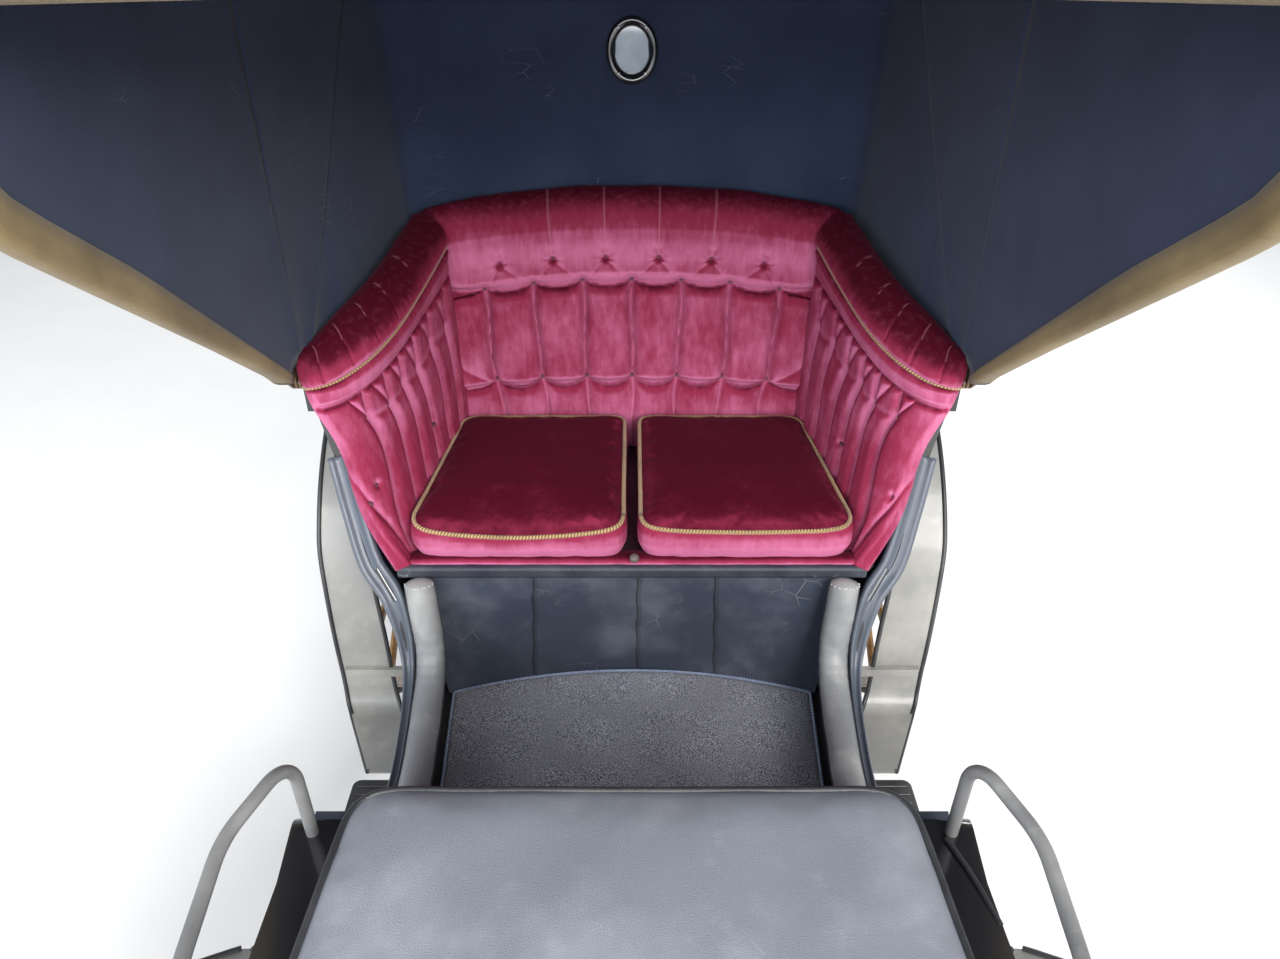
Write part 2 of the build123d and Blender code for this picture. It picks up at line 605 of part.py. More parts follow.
def running_gear(tub_outer):
    """Axles, springs, the irons that carry the body and both halves of the turntable."""
    keep("rear_axle", axle(REAR_WHEEL_RADIUS, REAR_HALF_TRACK, REAR_AXLE_Y, REAR_SPRING_X))
    rear_spring = elliptic_spring(REAR_SPRING_X, REAR_AXLE_Y, REAR_WHEEL_RADIUS, REAR_SPRING_LENGTH,
                                  REAR_SPRING_CAMBER)
    keep("rear_springs", *both_sides(rear_spring))
    rest = spring_top(REAR_WHEEL_RADIUS, REAR_SPRING_CAMBER)
    half_leaf = LEAF_WIDTH / 2
    arm = block(360, REAR_SPRING_X + half_leaf, 560, 660, rest, rest + 16) - tub_outer
    keep("body_irons", *both_sides(arm))

    keep("front_axle", axle(FRONT_WHEEL_RADIUS, FRONT_HALF_TRACK, FRONT_AXLE_Y, FRONT_SPRING_X))
    front_spring = elliptic_spring(FRONT_SPRING_X, FRONT_AXLE_Y, FRONT_WHEEL_RADIUS, FRONT_SPRING_LENGTH,
                                   FRONT_SPRING_CAMBER)
    keep("front_springs", *both_sides(front_spring))
    bed_low = spring_top(FRONT_WHEEL_RADIUS, FRONT_SPRING_CAMBER)
    bed_top = bed_low + BED_THICK
    y_low, y_high = FRONT_AXLE_Y - BED_DEPTH / 2, FRONT_AXLE_Y + BED_DEPTH / 2
    bed = block(-BED_HALF_WIDTH, BED_HALF_WIDTH, y_low, y_high, bed_low, bed_top)
    beams = []
    for side in (-1, 1):
        near = side * FUTCHELL_X - FUTCHELL_WIDTH / 2
        beams.append(block(near, near + FUTCHELL_WIDTH, SPLINTER_Y + SPLINTER_SIZE / 2, FRONT_AXLE_Y + 340,
                           bed_low, bed_low + FUTCHELL_THICK))
    hole = Pos(0, FRONT_AXLE_Y, bed_low) * Cylinder(KING_PIN_RADIUS + RUNNING_GAP, 400)
    keep("fore_bed", bed.fuse(*beams) - hole)
    bar = block(-SPLINTER_HALF_WIDTH, SPLINTER_HALF_WIDTH, SPLINTER_Y - SPLINTER_SIZE / 2,
                SPLINTER_Y + SPLINTER_SIZE / 2, bed_low, bed_low + SPLINTER_SIZE)
    bar = chamfer(bar.edges().filter_by(Axis.X), 8)
    hinge_y, hinge_z = shaft_hinge(bed_low)
    lugs = []
    for side in (-1, 1):
        for step_x in (-LUG_STEP, LUG_STEP):
            low_x, high_x = side * SHAFT_X + step_x - LUG_HALF, side * SHAFT_X + step_x + LUG_HALF
            lugs.append(block(low_x, high_x, hinge_y, SPLINTER_Y - SPLINTER_SIZE / 2 + 2,
                              hinge_z - SHAFT_EYE_RADIUS, hinge_z + SHAFT_EYE_RADIUS))
            lugs.append(rod_x(hinge_y, hinge_z, SHAFT_EYE_RADIUS, low_x, high_x))
        lugs.append(rod_x(hinge_y, hinge_z, SHAFT_PIN_RADIUS, side * SHAFT_X - SHAFT_PIN_HALF,
                          side * SHAFT_X + SHAFT_PIN_HALF))
    post_low, post_high = bed_low + SPLINTER_SIZE - 2, bed_low + SPLINTER_SIZE + POST_TOP
    post = Pos(0, SPLINTER_Y, (post_low + post_high) / 2) * Cylinder(POST_RADIUS, post_high - post_low)
    keep("splinter_bar", bar.fuse(post, *lugs))
    keep("swingletree", swingletree(bed_low + SPLINTER_SIZE + POST_TOP + SWINGLETREE_RADIUS))

    ring = Cylinder(PLATE_RADIUS, PLATE_THICK) - Cylinder(PLATE_RADIUS - PLATE_RIM, PLATE_THICK + 2)
    low_z = bed_top + PLATE_THICK / 2
    keep("lower_wheel_plate", Pos(0, FRONT_AXLE_Y, low_z) * ring)
    high_z = low_z + PLATE_THICK + PLATE_GAP
    keep("upper_wheel_plate", Pos(0, FRONT_AXLE_Y, high_z) * ring)
    top_low = high_z + PLATE_THICK / 2
    upper_bed = block(-330, 330, y_low, y_high, top_low, BOOT_FLOOR)
    pin_low = bed_low - 26
    pin = Pos(0, FRONT_AXLE_Y, (pin_low + BOOT_FLOOR) / 2) * Cylinder(KING_PIN_RADIUS, BOOT_FLOOR - pin_low)
    nut = Pos(0, FRONT_AXLE_Y, bed_low - 8) * extrude(RegularPolygon(NUT_RADIUS, 6), amount=6, both=True)
    keep("upper_bed", upper_bed.fuse(pin, nut))
    return bed_low


def swingletree(z):
    """Turned bar with a collared pin near each end, on which the harness traces pull."""
    right_half = [(-x, radius) for x, radius in reversed(SWINGLETREE_HALF_OUTLINE[1:])]
    outline = [(-SWINGLETREE_HALF, 0), *right_half, *SWINGLETREE_HALF_OUTLINE, (SWINGLETREE_HALF, 0)]
    pins = []
    for side in (-1, 1):
        for radius, reach in ((TRACE_PIN_RADIUS, TRACE_PIN_REACH), (TRACE_COLLAR_RADIUS, TRACE_COLLAR_REACH)):
            foot = Pos(side * (SWINGLETREE_HALF - TRACE_PIN_FROM_END), -reach / 2, 0) * Rot(90, 0, 0)
            pins.append(foot * Cylinder(radius, reach))
    return Pos(0, SPLINTER_Y, z) * turned(outline).fuse(*pins)


def shaft_hinge(bed_low):
    """Where the shafts turn, ahead of the splinter bar."""
    return SPLINTER_Y - SPLINTER_SIZE / 2 - 26, bed_low + SPLINTER_SIZE / 2


def shafts(bed_low):
    """A pair of shafts hinged to the splinter bar, tips resting on the ground."""
    hinge_y, hinge_z = shaft_hinge(bed_low)
    start_y = hinge_y - 44
    tip_y = SPLINTER_Y - SHAFT_REACH
    tip_z = FERRULE_RADIUS + 1
    route = []
    for share, out, rise in ((0.0, 0, 0), (0.12, 14, 6), (0.42, SHAFT_BOW, 26), (0.74, 14, 30), (1.0, -18, 0)):
        z = hinge_z + (tip_z - hinge_z) * share + rise
        route.append((SHAFT_X + out, start_y + (tip_y - start_y) * share, z))
    shaft = bent_rod(route, [400, 1500, 1500], SHAFT_RADIUS)
    keep_sides("shaft", shaft)

    strap = bent_rod([(SHAFT_X, hinge_y, hinge_z), route[0], (route[0][0] + 3, route[0][1] - 30, route[0][2] - 8)],
                     [20], SHAFT_EYE_RADIUS - 6)
    eye = rod_x(hinge_y, hinge_z, SHAFT_EYE_RADIUS, SHAFT_X - 11, SHAFT_X + 11)
    eye = eye.fuse(strap - shaft) - rod_x(hinge_y, hinge_z, SHAFT_PIN_RADIUS + RUNNING_GAP, 0, 900)
    tip = Vector(*route[-1])
    back = (Vector(*route[-2]) - tip).normalized()
    sleeve = Plane(origin=tip - back * 4, z_dir=back)
    ferrule = extrude(sleeve * Circle(FERRULE_RADIUS), amount=FERRULE_LENGTH) - shaft
    keep("shaft_irons", *both_sides(eye), *both_sides(ferrule))

    bar_y = start_y - CROSSBAR_AHEAD
    share = (bar_y - start_y) / (tip_y - start_y)
    bar_z = hinge_z + (tip_z - hinge_z) * share + 7
    crossbar = rod_x(bar_y, bar_z, CROSSBAR_RADIUS, -SHAFT_X - 12, SHAFT_X + 12)
    left, right = both_sides(shaft)
    keep("shaft_crossbar", min((crossbar - left - right).solids(), key=lambda solid: abs(solid.center().X)))


def hood_plane(angle):
    """Plane through the hood's pivots, its second axis at an angle above the forward horizontal."""
    a = radians(angle)
    return Plane(origin=(0, PIVOT_Y, PIVOT_Z), x_dir=(1, 0, 0), z_dir=(0, -sin(a), -cos(a)))


def arch(base_x, base_r, knee_x, knee_r, top_x, top_r, corner, crown=BOW_CROWN):
    """An arch in a hood plane: straight legs, rounded corners and a slight crown."""
    points = [(base_x, base_r), (knee_x, knee_r), (top_x, top_r - crown), (0, top_r), (-top_x, top_r - crown),
              (-knee_x, knee_r), (-base_x, base_r)]
    return make_face(FilletPolyline(*points, radius=[0, 40, corner, 2400, corner, 40, 0], close=True))


def bow(angle, reach, half_top, leg_x, iron_x):
    """One hood bow: a bent wooden arch on two flat irons."""
    def outline(inset, low):
        knee = BAND_START + 120
        lean = (leg_x - half_top) / (reach - BAND_START)
        at_knee = leg_x - lean * (knee - BAND_START)
        at_low = leg_x + lean * (BAND_START - low) + 0.4
        return arch(at_low - inset, low, at_knee - inset + 0.4, knee, half_top - inset, reach - inset,
                    BOW_CORNER - inset)
    band = extrude(outline(0, BAND_START) - outline(BOW_WIDTH, BAND_START - 30), amount=BOW_THICK / 2, both=True)
    irons = []
    for side in (-1, 1):
        x = side * iron_x
        low, high = x - IRON_THICK / 2, x + IRON_THICK / 2
        strap = block(low, high, 0, IRON_LENGTH, -IRON_WIDTH / 2, IRON_WIDTH / 2)
        eye = rod_x(0, 0, IRON_WIDTH / 2, low, high)
        irons += [strap, eye]
    hole = rod_x(0, 0, PIVOT_PIN_RADIUS + RUNNING_GAP, -900, 900)
    return hood_plane(angle) * (band.fuse(*irons) - hole)


def hood_form(first, last, thick):
    """The space under the hood between two of its arches, grown by thick."""
    faces = []
    for name, turn in ((first, SKIN_SEAM_GAP), (last, -SKIN_SEAM_GAP)):
        angle, reach, half_top, knee_x, knee_r, corner, crown = HOOD_ARCHES[name]
        sunk = 0 if thick else 12
        face = arch(SKIN_BASE_X + thick, SKIN_BASE - sunk, knee_x + thick, knee_r, half_top + thick,
                    reach + thick, corner, crown)
        faces.append(hood_plane(angle + turn) * face)
    return loft(faces, ruled=True)


def hood_pieces(tub_outer):
    """Three bows on one pair of pivots, three stretches of leather and the oval back window."""
    forms = {pair: hood_form(*pair, 0) for pair in SKIN_PAIRS.values()}
    covers = {pair: hood_form(*pair, 60) - forms[pair] for pair in forms}
    for index, (name, angle, reach, half_top, leg_x) in enumerate(BOWS):
        iron_x = FIRST_IRON_X + (IRON_THICK + IRON_GAP) * index
        frame = bow(angle, reach, half_top, leg_x, iron_x)
        for pair, cover in covers.items():
            if name in pair:
                frame -= cover
        keep("hood_bow_" + name, frame)

    pin = rod_x(PIVOT_Y, PIVOT_Z, PIVOT_PIN_RADIUS, 672, 700.5)
    plate = block(600, 673, PIVOT_Y - 12, PIVOT_Y + 40, PIVOT_Z - 60, PIVOT_Z + 10)
    keep("hood_pivots", *both_sides((plate - tub_outer).fuse(pin)))

    skins = {name: hood_form(*pair, SKIN) - forms[pair] for name, pair in SKIN_PAIRS.items()}
    window_face = Plane(origin=(0, 900, WINDOW_Z), x_dir=(-1, 0, 0), z_dir=(0, 1, 0))
    skins["hood_skin_back"] -= extrude(window_face * Ellipse(*WINDOW_HALF), amount=-400)
    for name, skin in skins.items():
        keep(name, skin)
    seat = Plane(origin=(0, WINDOW_Y, WINDOW_Z), x_dir=(-1, 0, 0), z_dir=(0, 1, 0))
    ring = Ellipse(WINDOW_HALF[0] - RUNNING_GAP, WINDOW_HALF[1] - RUNNING_GAP) - Ellipse(*GLASS_HALF)
    keep("window_bezel", extrude(seat * ring, amount=BEZEL_THICK, both=True))
    pane = Ellipse(GLASS_HALF[0] - 0.2, GLASS_HALF[1] - 0.2)
    keep("window_glass", extrude(seat * pane, amount=2, both=True))


outer_form, tub_wall = tub_pieces()
left_panel = side_panels()
floor_pieces(tub_wall)
sill_rolls()
cushions()
driver_seat()
fenders(outer_form, left_panel)
bed_height = running_gear(outer_form)
shafts(bed_height)
hood_pieces(outer_form)
add_wheels("rear", REAR_WHEEL_RADIUS, REAR_SPOKES, REAR_HALF_TRACK, REAR_AXLE_Y)
add_wheels("front", FRONT_WHEEL_RADIUS, FRONT_SPOKES, FRONT_HALF_TRACK, FRONT_AXLE_Y)

boxes = [solid.bounding_box() for solids in pieces.values() for solid in solids]
centre_y = (min(box.min.Y for box in boxes) + max(box.max.Y for box in boxes)) / 2
to_origin = Pos(0, -centre_y, 0)
print("centre of the carriage at y", centre_y)

os.makedirs("parts", exist_ok=True)
for piece_name, solids in pieces.items():
    placed = [to_origin * solid for solid in solids]
    export_step(placed[0] if len(placed) == 1 else Compound(placed), f"parts/{piece_name}.step")
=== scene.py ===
# %% [markdown]
# # An open carriage with a folding hood
# This lesson dresses a four-wheeled carriage: buttoned velvet under a leather hood, black coach paint,
# varnished wheels. The rigid frame is loaded first and never moved. Every soft or shiny thing is then built
# around it, piece by piece, in metres.

# %% Load the frame
import json
from math import cos, pi, radians, sin, tan

import bmesh
import bpy
import numpy as np
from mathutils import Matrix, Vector
from mathutils.bvhtree import BVHTree


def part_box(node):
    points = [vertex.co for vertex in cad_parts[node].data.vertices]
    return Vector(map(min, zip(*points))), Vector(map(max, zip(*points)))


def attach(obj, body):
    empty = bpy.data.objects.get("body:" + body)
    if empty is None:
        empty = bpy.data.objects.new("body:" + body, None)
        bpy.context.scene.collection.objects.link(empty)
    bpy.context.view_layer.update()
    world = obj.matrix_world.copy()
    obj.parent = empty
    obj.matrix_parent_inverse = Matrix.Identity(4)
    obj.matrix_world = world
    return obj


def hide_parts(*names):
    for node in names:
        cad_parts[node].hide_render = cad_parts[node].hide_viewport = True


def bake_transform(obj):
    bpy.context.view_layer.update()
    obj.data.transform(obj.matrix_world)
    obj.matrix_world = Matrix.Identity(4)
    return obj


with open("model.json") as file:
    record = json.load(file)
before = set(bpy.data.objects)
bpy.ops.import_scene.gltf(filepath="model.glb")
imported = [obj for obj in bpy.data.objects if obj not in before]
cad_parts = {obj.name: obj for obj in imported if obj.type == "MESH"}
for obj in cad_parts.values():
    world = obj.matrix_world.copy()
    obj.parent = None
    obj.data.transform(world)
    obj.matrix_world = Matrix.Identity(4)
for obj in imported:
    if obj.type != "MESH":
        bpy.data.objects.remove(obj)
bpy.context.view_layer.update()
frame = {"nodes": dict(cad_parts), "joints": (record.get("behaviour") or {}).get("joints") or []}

# %% [markdown]
# ## Where things are
# All the sizes below are measured from the floor and from the front edge of the passenger seat, which is how
# a trimmer would take them. That edge lies 0.62 m ahead of the rear hubs, so it is found from a rear wheel.

# %% Measure the frame
SEAT_TO_REAR_HUB = 0.62
BODY = "carriage_body"
# the two sides, and which way x goes on each
SIDES = (("left", 1), ("right", -1))


def middle(node):
    """The centre of a node's box."""
    low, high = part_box(node)
    return (Vector(low) + Vector(high)) / 2


SEAT_FRONT = middle("wheel_rear_left").y - SEAT_TO_REAR_HUB
print("front edge of the seat at y =", round(SEAT_FRONT, 4))


def to_row(points):
    """Points measured from the seat's front edge, in the frame's own y."""
    placed = np.array(points, dtype=float).reshape(-1, 3)
    placed[:, 1] += SEAT_FRONT
    return placed


# %% [markdown]
# ## Wires that do sums
# A material or a geometry tree is a net of nodes. Wrapping one socket in a small class lets a formula be
# written as plain sums, and each sum adds its Math node. Every other node comes from one method, `node`.

# %% One class for every node tree
class Wire:
    """A socket of a node tree. Sums on it add Math nodes, and `node` adds any other node."""

    def __init__(self, tree, socket=None):
        self.tree = tree
        self.socket = socket

    def node(self, kind, settings=None, sockets=None, out=0):
        """A new node: its settings are set first, then the values or links of its sockets."""
        made = self.tree.nodes.new(kind)
        for key, value in (settings or {}).items():
            setattr(made, key, value)
        for key, value in (sockets or {}).items():
            if isinstance(value, Wire):
                self.tree.links.new(value.socket, made.inputs[key])
            else:
                made.inputs[key].default_value = value
        return Wire(self.tree, made.outputs[out]) if out is not None else made

    def sum(self, operation, first, second=None, third=None):
        given = {i: v for i, v in enumerate((first, second, third)) if v is not None}
        return self.node("ShaderNodeMath", {"operation": operation}, given)

    def __add__(self, other):
        return self.sum("ADD", self, other)

    def __radd__(self, other):
        return self.sum("ADD", other, self)

    def __sub__(self, other):
        return self.sum("SUBTRACT", self, other)

    def __rsub__(self, other):
        return self.sum("SUBTRACT", other, self)

    def __mul__(self, other):
        return self.sum("MULTIPLY", self, other)

    def __rmul__(self, other):
        return self.sum("MULTIPLY", other, self)

    def __abs__(self):
        return self.sum("ABSOLUTE", self)

    def wave(self):
        """A sine of the value, from 0 to 1."""
        return self.sum("MULTIPLY_ADD", self.sum("SINE", self), 0.5, 0.5)

    def ramp(self, low, high):
        """0 below low and 1 above high, smooth between. With low over high it falls."""
        limits = {"Value": self, "From Min": low, "From Max": high}
        return self.node("ShaderNodeMapRange", {"interpolation_type": "SMOOTHSTEP"}, limits)


print("one Wire class serves the materials and the geometry trees")

# %% [markdown]
# ## Materials from a few habits
# Each finish starts from Object coordinates, because a finished piece sits at the origin and its pattern then
# never slides. `noise`, `mix` and `bump` are the three moves that nearly every finish below is made of.

# %% Material helpers
def open_material(name):
    """A new material and its first wire."""
    material = bpy.data.materials.new(name)
    material.use_nodes = True
    material.node_tree.nodes.clear()
    return material, Wire(material.node_tree)


def close_material(material, root, looks):
    """Ends a material in one Principled shader."""
    shader = root.node("ShaderNodeBsdfPrincipled", {}, looks)
    root.node("ShaderNodeOutputMaterial", {}, {"Surface": shader}, out=None)
    return material


def place(root, stretch):
    """Object coordinates, stretched along each axis."""
    coordinates = root.node("ShaderNodeTexCoord", out="Object")
    return root.node("ShaderNodeMapping", {}, {"Vector": coordinates, "Scale": stretch})


def noise(root, scale, detail=3.0, rough=0.55, stretch=(1, 1, 1)):
    given = {"Vector": place(root, stretch), "Scale": scale, "Detail": detail, "Roughness": rough}
    return root.node("ShaderNodeTexNoise", {}, given, "Fac")


def cells(root, scale, stretch=(1, 1, 1), feature="F1"):
    given = {"Vector": place(root, stretch), "Scale": scale}
    return root.node("ShaderNodeTexVoronoi", {"feature": feature}, given, "Distance")


def mix(root, factor, first, second):
    """One colour into another."""
    first, second = (c if isinstance(c, Wire) else (*c, 1) for c in (first, second))
    return root.node("ShaderNodeMix", {"data_type": "RGBA"}, {0: factor, 6: first, 7: second}, 2)


def bump(root, height, distance, strength):
    given = {"Height": height, "Distance": distance, "Strength": strength}
    return root.node("ShaderNodeBump", {}, given, "Normal")


def facing(root, axis):
    """How much the surface faces along an axis, -1 to 1."""
    normal = root.node("ShaderNodeNewGeometry", out="Normal")
    return root.node("ShaderNodeVectorMath", {"operation": "DOT_PRODUCT"}, {0: normal, 1: axis}, "Value")


def stamped(root, name):
    """A number that a piece stores on its points."""
    return root.node("ShaderNodeAttribute", {"attribute_name": name}, out="Fac")


print("material helpers ready")

# %% [markdown]
# ## Crimson velvet
# Velvet is a cut pile. Where the pile points at you it drinks the light and looks wine dark, and where it
# leans away it turns pink. On this seat that light and shade is painted into the colour: the tops are painted
# dark and everything that faces forward or down is painted pink, by the direction that the surface faces,
# never the camera. Creases get painted shade and the flanks of pleats a painted sheen. Sheen adds the soft
# rim.

# %% Velvet
# the dark tone is the crimson in painted shade, and the pink tone is the crimson in painted sheen
VELVET_DARK = (0.058, 0.0014, 0.0095)
VELVET_RED = (0.215, 0.0190, 0.052)
VELVET_PINK = (0.520, 0.150, 0.285)
# painted shade for the creases
VELVET_CREASE_SHADE = (0.040, 0.0030, 0.012)
SEAM_THREAD = (0.45, 0.16, 0.21)
VELVET_LINT = (0.55, 0.26, 0.32)


def velvet(name, dark=VELVET_DARK, red=VELVET_RED, pink=VELVET_PINK, tufted=False):
    """Cut pile with painted shade and sheen by facing. Tufted cloth also knows its fold (0 in a crease, 1 on
    a pleat), its seams and its top, which gets more painted shade.
    """
    material, root = open_material(name)
    brushed = noise(root, 9.0, 4.0, 0.6)
    streaks = noise(root, 70.0, 3.0, 0.6, (1.0, 1.0, 0.22))
    pile = noise(root, 900.0, 2.0, 0.7)
    # painted shade on faces turned up and painted sheen on faces turned forward and down, mixed with random
    # nap streaks
    painted_light_and_nap = facing(root, (0.0, -0.25, -0.97)) + (brushed - 0.5) * 0.75 + (streaks - 0.5) * 0.40
    if tufted:
        # the tops of the arm rolls get more painted shade
        painted_light_and_nap = painted_light_and_nap - stamped(root, "top") * 0.42
    colour = mix(root, painted_light_and_nap.ramp(-0.98, -0.22), dark, red)
    colour = mix(root, painted_light_and_nap.ramp(-0.22, 0.62), colour, pink)
    if tufted:
        fold, seam = stamped(root, "fold"), stamped(root, "seam")
        # painted sheen on the flanks of the pleats, with random nap streaks
        painted_flank_sheen_and_nap = fold.ramp(0.80, 0.45) * 0.40 + (streaks - 0.5) * 0.3
        colour = mix(root, painted_flank_sheen_and_nap, colour, pink)
        colour = mix(root, seam * 0.45, colour, SEAM_THREAD)
        # painted shade in the creases of the tufting
        colour = mix(root, fold.ramp(0.26, 0.05) * 0.95, colour, VELVET_CREASE_SHADE)
    lint = cells(root, 70.0).ramp(0.030, 0.012) * noise(root, 13.0, 1.0).ramp(0.60, 0.66)
    colour = mix(root, lint * 0.5, colour, VELVET_LINT)
    colour = mix(root, (pile - 0.5).ramp(-0.25, 0.25) * 0.3, colour, mix(root, 0.5, colour, dark))
    height = pile * 0.6 + streaks * 0.4
    looks = {"Base Color": colour, "Roughness": 0.88 - brushed * 0.1,
             "Normal": bump(root, height, 0.0012, 0.5), "Specular IOR Level": 0.10,
             "Sheen Weight": 0.08, "Sheen Roughness": 0.35, "Sheen Tint": (0.90, 0.25, 0.40, 1)}
    return close_material(material, root, looks)


VELVET = velvet("velvet")
TUFTED_VELVET = velvet("tufted_velvet", tufted=True)
print("velvet in three tones")

# %% [markdown]
# ## Braid, leather, cloth and carpet
# The gold braid is a twisted gimp, so its stripes follow two attributes that the cord tree below stores on
# the piece: `along`, in metres, and `around`, from 0 to 1. Leathers share one recipe of pores, creases and
# pale patches of wear, and differ in colour, gloss and how creased they are. On the fenders, the sill rolls
# and the driver's cushion the light colour and the pale patches are also painted sunlight and reflection.

# %% Braid and leathers
BRAID_TWIST = 900.0
SCRATCH_GREY = (0.36, 0.36, 0.37)


def braid(name, light, dark):
    """A twisted cord. Stripes run along a helix of the cord's own attributes."""
    material, root = open_material(name)
    along, around = stamped(root, "along"), stamped(root, "around")
    ply = (along * BRAID_TWIST + around * (2 * pi)).wave()
    worn = noise(root, 14.0, 2.0)
    colour = mix(root, ply.ramp(0.15, 0.75), dark, light)
    colour = mix(root, worn.ramp(0.45, 0.75) * 0.5, colour, dark)
    looks = {"Base Color": colour, "Roughness": 0.62, "Normal": bump(root, ply, 0.0016, 0.9),
             "Sheen Weight": 0.2}
    return close_material(material, root, looks)


def leather(name, base, worn, rough=0.42, pores=420.0, crease=0.5, coat=0.0, marks=0.3):
    """Hide with pores, fine creases, pale patches of wear (painted light too on the lightened leathers) and a
    few scratches.
    """
    material, root = open_material(name)
    grain = cells(root, pores)
    folds = noise(root, 26.0, 5.0, 0.62)
    patches = noise(root, 5.0, 4.0, 0.6)
    scratch = cells(root, 16.0, (1.0, 5.0, 1.0), "DISTANCE_TO_EDGE").ramp(0.012, 0.0)
    scratch = scratch * noise(root, 7.0, 2.0).ramp(0.58, 0.70)
    dust = cells(root, 110.0).ramp(0.10, 0.03) * noise(root, 21.0, 1.0).ramp(0.56, 0.64)
    # pale patches: wear, and on the lightened leathers painted light as well
    wear = patches.ramp(0.42, 0.78) * 0.7 + folds.ramp(0.55, 0.8) * 0.3
    colour = mix(root, wear, base, worn)
    colour = mix(root, scratch * marks + dust * marks, colour, SCRATCH_GREY)
    height = grain * 0.35 + folds * crease
    looks = {"Base Color": colour, "Roughness": patches * 0.22 + (rough - 0.1), "Coat Weight": coat,
             "Coat Roughness": 0.14, "Normal": bump(root, height, 0.0016, 0.5)}
    return close_material(material, root, looks)


GOLD_BRAID = braid("gold_braid", (0.42, 0.27, 0.115), (0.15, 0.085, 0.045))
BINDING = braid("carpet_binding", (0.30, 0.36, 0.50), (0.10, 0.13, 0.22))
WELT = leather("leather_welt", (0.020, 0.021, 0.024), (0.07, 0.072, 0.078), 0.40, 700.0)
ROD_LEATHER = leather("rod_leather", (0.120, 0.122, 0.125), (0.320, 0.320, 0.310), 0.40, 700.0)
RAIL_LEATHER = leather("rail_leather", (0.012, 0.015, 0.027), (0.052, 0.058, 0.074), 0.55, 520.0, marks=0.9)
LEATHER = leather("seat_leather", (0.034, 0.042, 0.062), (0.120, 0.132, 0.165), 0.40, marks=0.6)
# sill rolls: the light grey holds painted sheen, and the pale cream patches are painted sunlight as well as
# wear
ROLL_LEATHER = leather("roll_leather", (0.165, 0.172, 0.182), (0.400, 0.400, 0.385), 0.40, 520.0, 0.8)
# driver's cushion: its dark leather is painted a light blue-grey, which is painted sunlight
DRIVER_LEATHER = leather("driver_leather", (0.165, 0.180, 0.212), (0.285, 0.305, 0.345), 0.36, 650.0, 0.5)
HOOD_LEATHER = leather("hood_leather", (0.012, 0.012, 0.014), (0.040, 0.039, 0.039), 0.40, 240.0, 0.9, 0.10)
# fenders and dash: black leather painted light grey, which is painted sky reflection; its paler patches are
# painted reflection and wear
PATENT = leather("patent_leather", (0.200, 0.200, 0.192), (0.380, 0.368, 0.330), 0.32, 900.0, 0.4, 0.30, 0.2)
print("leathers and braids ready")

# %% [markdown]
# The hood's lining is a navy woollen cloth with lint on it, and the carpet is a flecked loop pile in navy and
# pale grey. Both are colour noise at the scale of the real threads, with a bump from the same values.

# %% Cloth and carpet
LINING_LINT = (0.42, 0.46, 0.52)
CARPET_NAVY = (0.034, 0.036, 0.056)
CARPET_FLECK = (0.48, 0.48, 0.54)
CARPET_TRODDEN = (0.110, 0.107, 0.132)


def lining_cloth(name, base, light):
    material, root = open_material(name)
    threads = noise(root, 1500.0, 1.0, 0.5, (1.0, 1.0, 0.5))
    cloudy = noise(root, 4.0, 4.0, 0.6)
    lint = cells(root, 60.0).ramp(0.030, 0.014) * noise(root, 17.0, 1.0).ramp(0.55, 0.62)
    rubbed = cells(root, 9.0, (1.0, 1.0, 4.0), "DISTANCE_TO_EDGE").ramp(0.010, 0.0)
    rubbed = rubbed * noise(root, 5.0, 2.0).ramp(0.60, 0.72)
    colour = mix(root, cloudy.ramp(0.3, 0.75), base, light)
    colour = mix(root, threads.ramp(0.35, 0.65) * 0.35, colour, base)
    colour = mix(root, lint * 0.7 + rubbed * 0.25, colour, LINING_LINT)
    looks = {"Base Color": colour, "Roughness": 0.92, "Normal": bump(root, threads, 0.0006, 0.6),
             "Specular IOR Level": 0.2, "Sheen Weight": 0.12}
    return close_material(material, root, looks)


def flecked_carpet():
    material, root = open_material("flecked_carpet")
    loops = noise(root, 420.0, 2.0, 0.75)
    fleck = noise(root, 620.0, 1.0, 0.6)
    trodden = noise(root, 5.0, 3.0)
    colour = mix(root, fleck.ramp(0.44, 0.60), CARPET_NAVY, CARPET_FLECK)
    colour = mix(root, trodden.ramp(0.35, 0.7) * 0.35, colour, CARPET_TRODDEN)
    looks = {"Base Color": colour, "Roughness": 0.95, "Normal": bump(root, loops, 0.003, 0.9),
             "Specular IOR Level": 0.15, "Sheen Weight": 0.15}
    return close_material(material, root, looks)


LINING_CLOTH = lining_cloth("navy_lining", (0.017, 0.026, 0.055), (0.028, 0.041, 0.080))
BAND_CLOTH = lining_cloth("hood_band", (0.120, 0.086, 0.040), (0.260, 0.195, 0.095))
CARPET = flecked_carpet()
print("cloth and carpet ready")

# %% [markdown]
# ## Paint, wood, rubber and metal
# Coach paint is many coats of black under varnish: a dark base with a full clear coat and a trace of ripple.
# The wheels are varnished in golden brown, and their dark lines are rings round the hub, worked out from the
# distance to it.

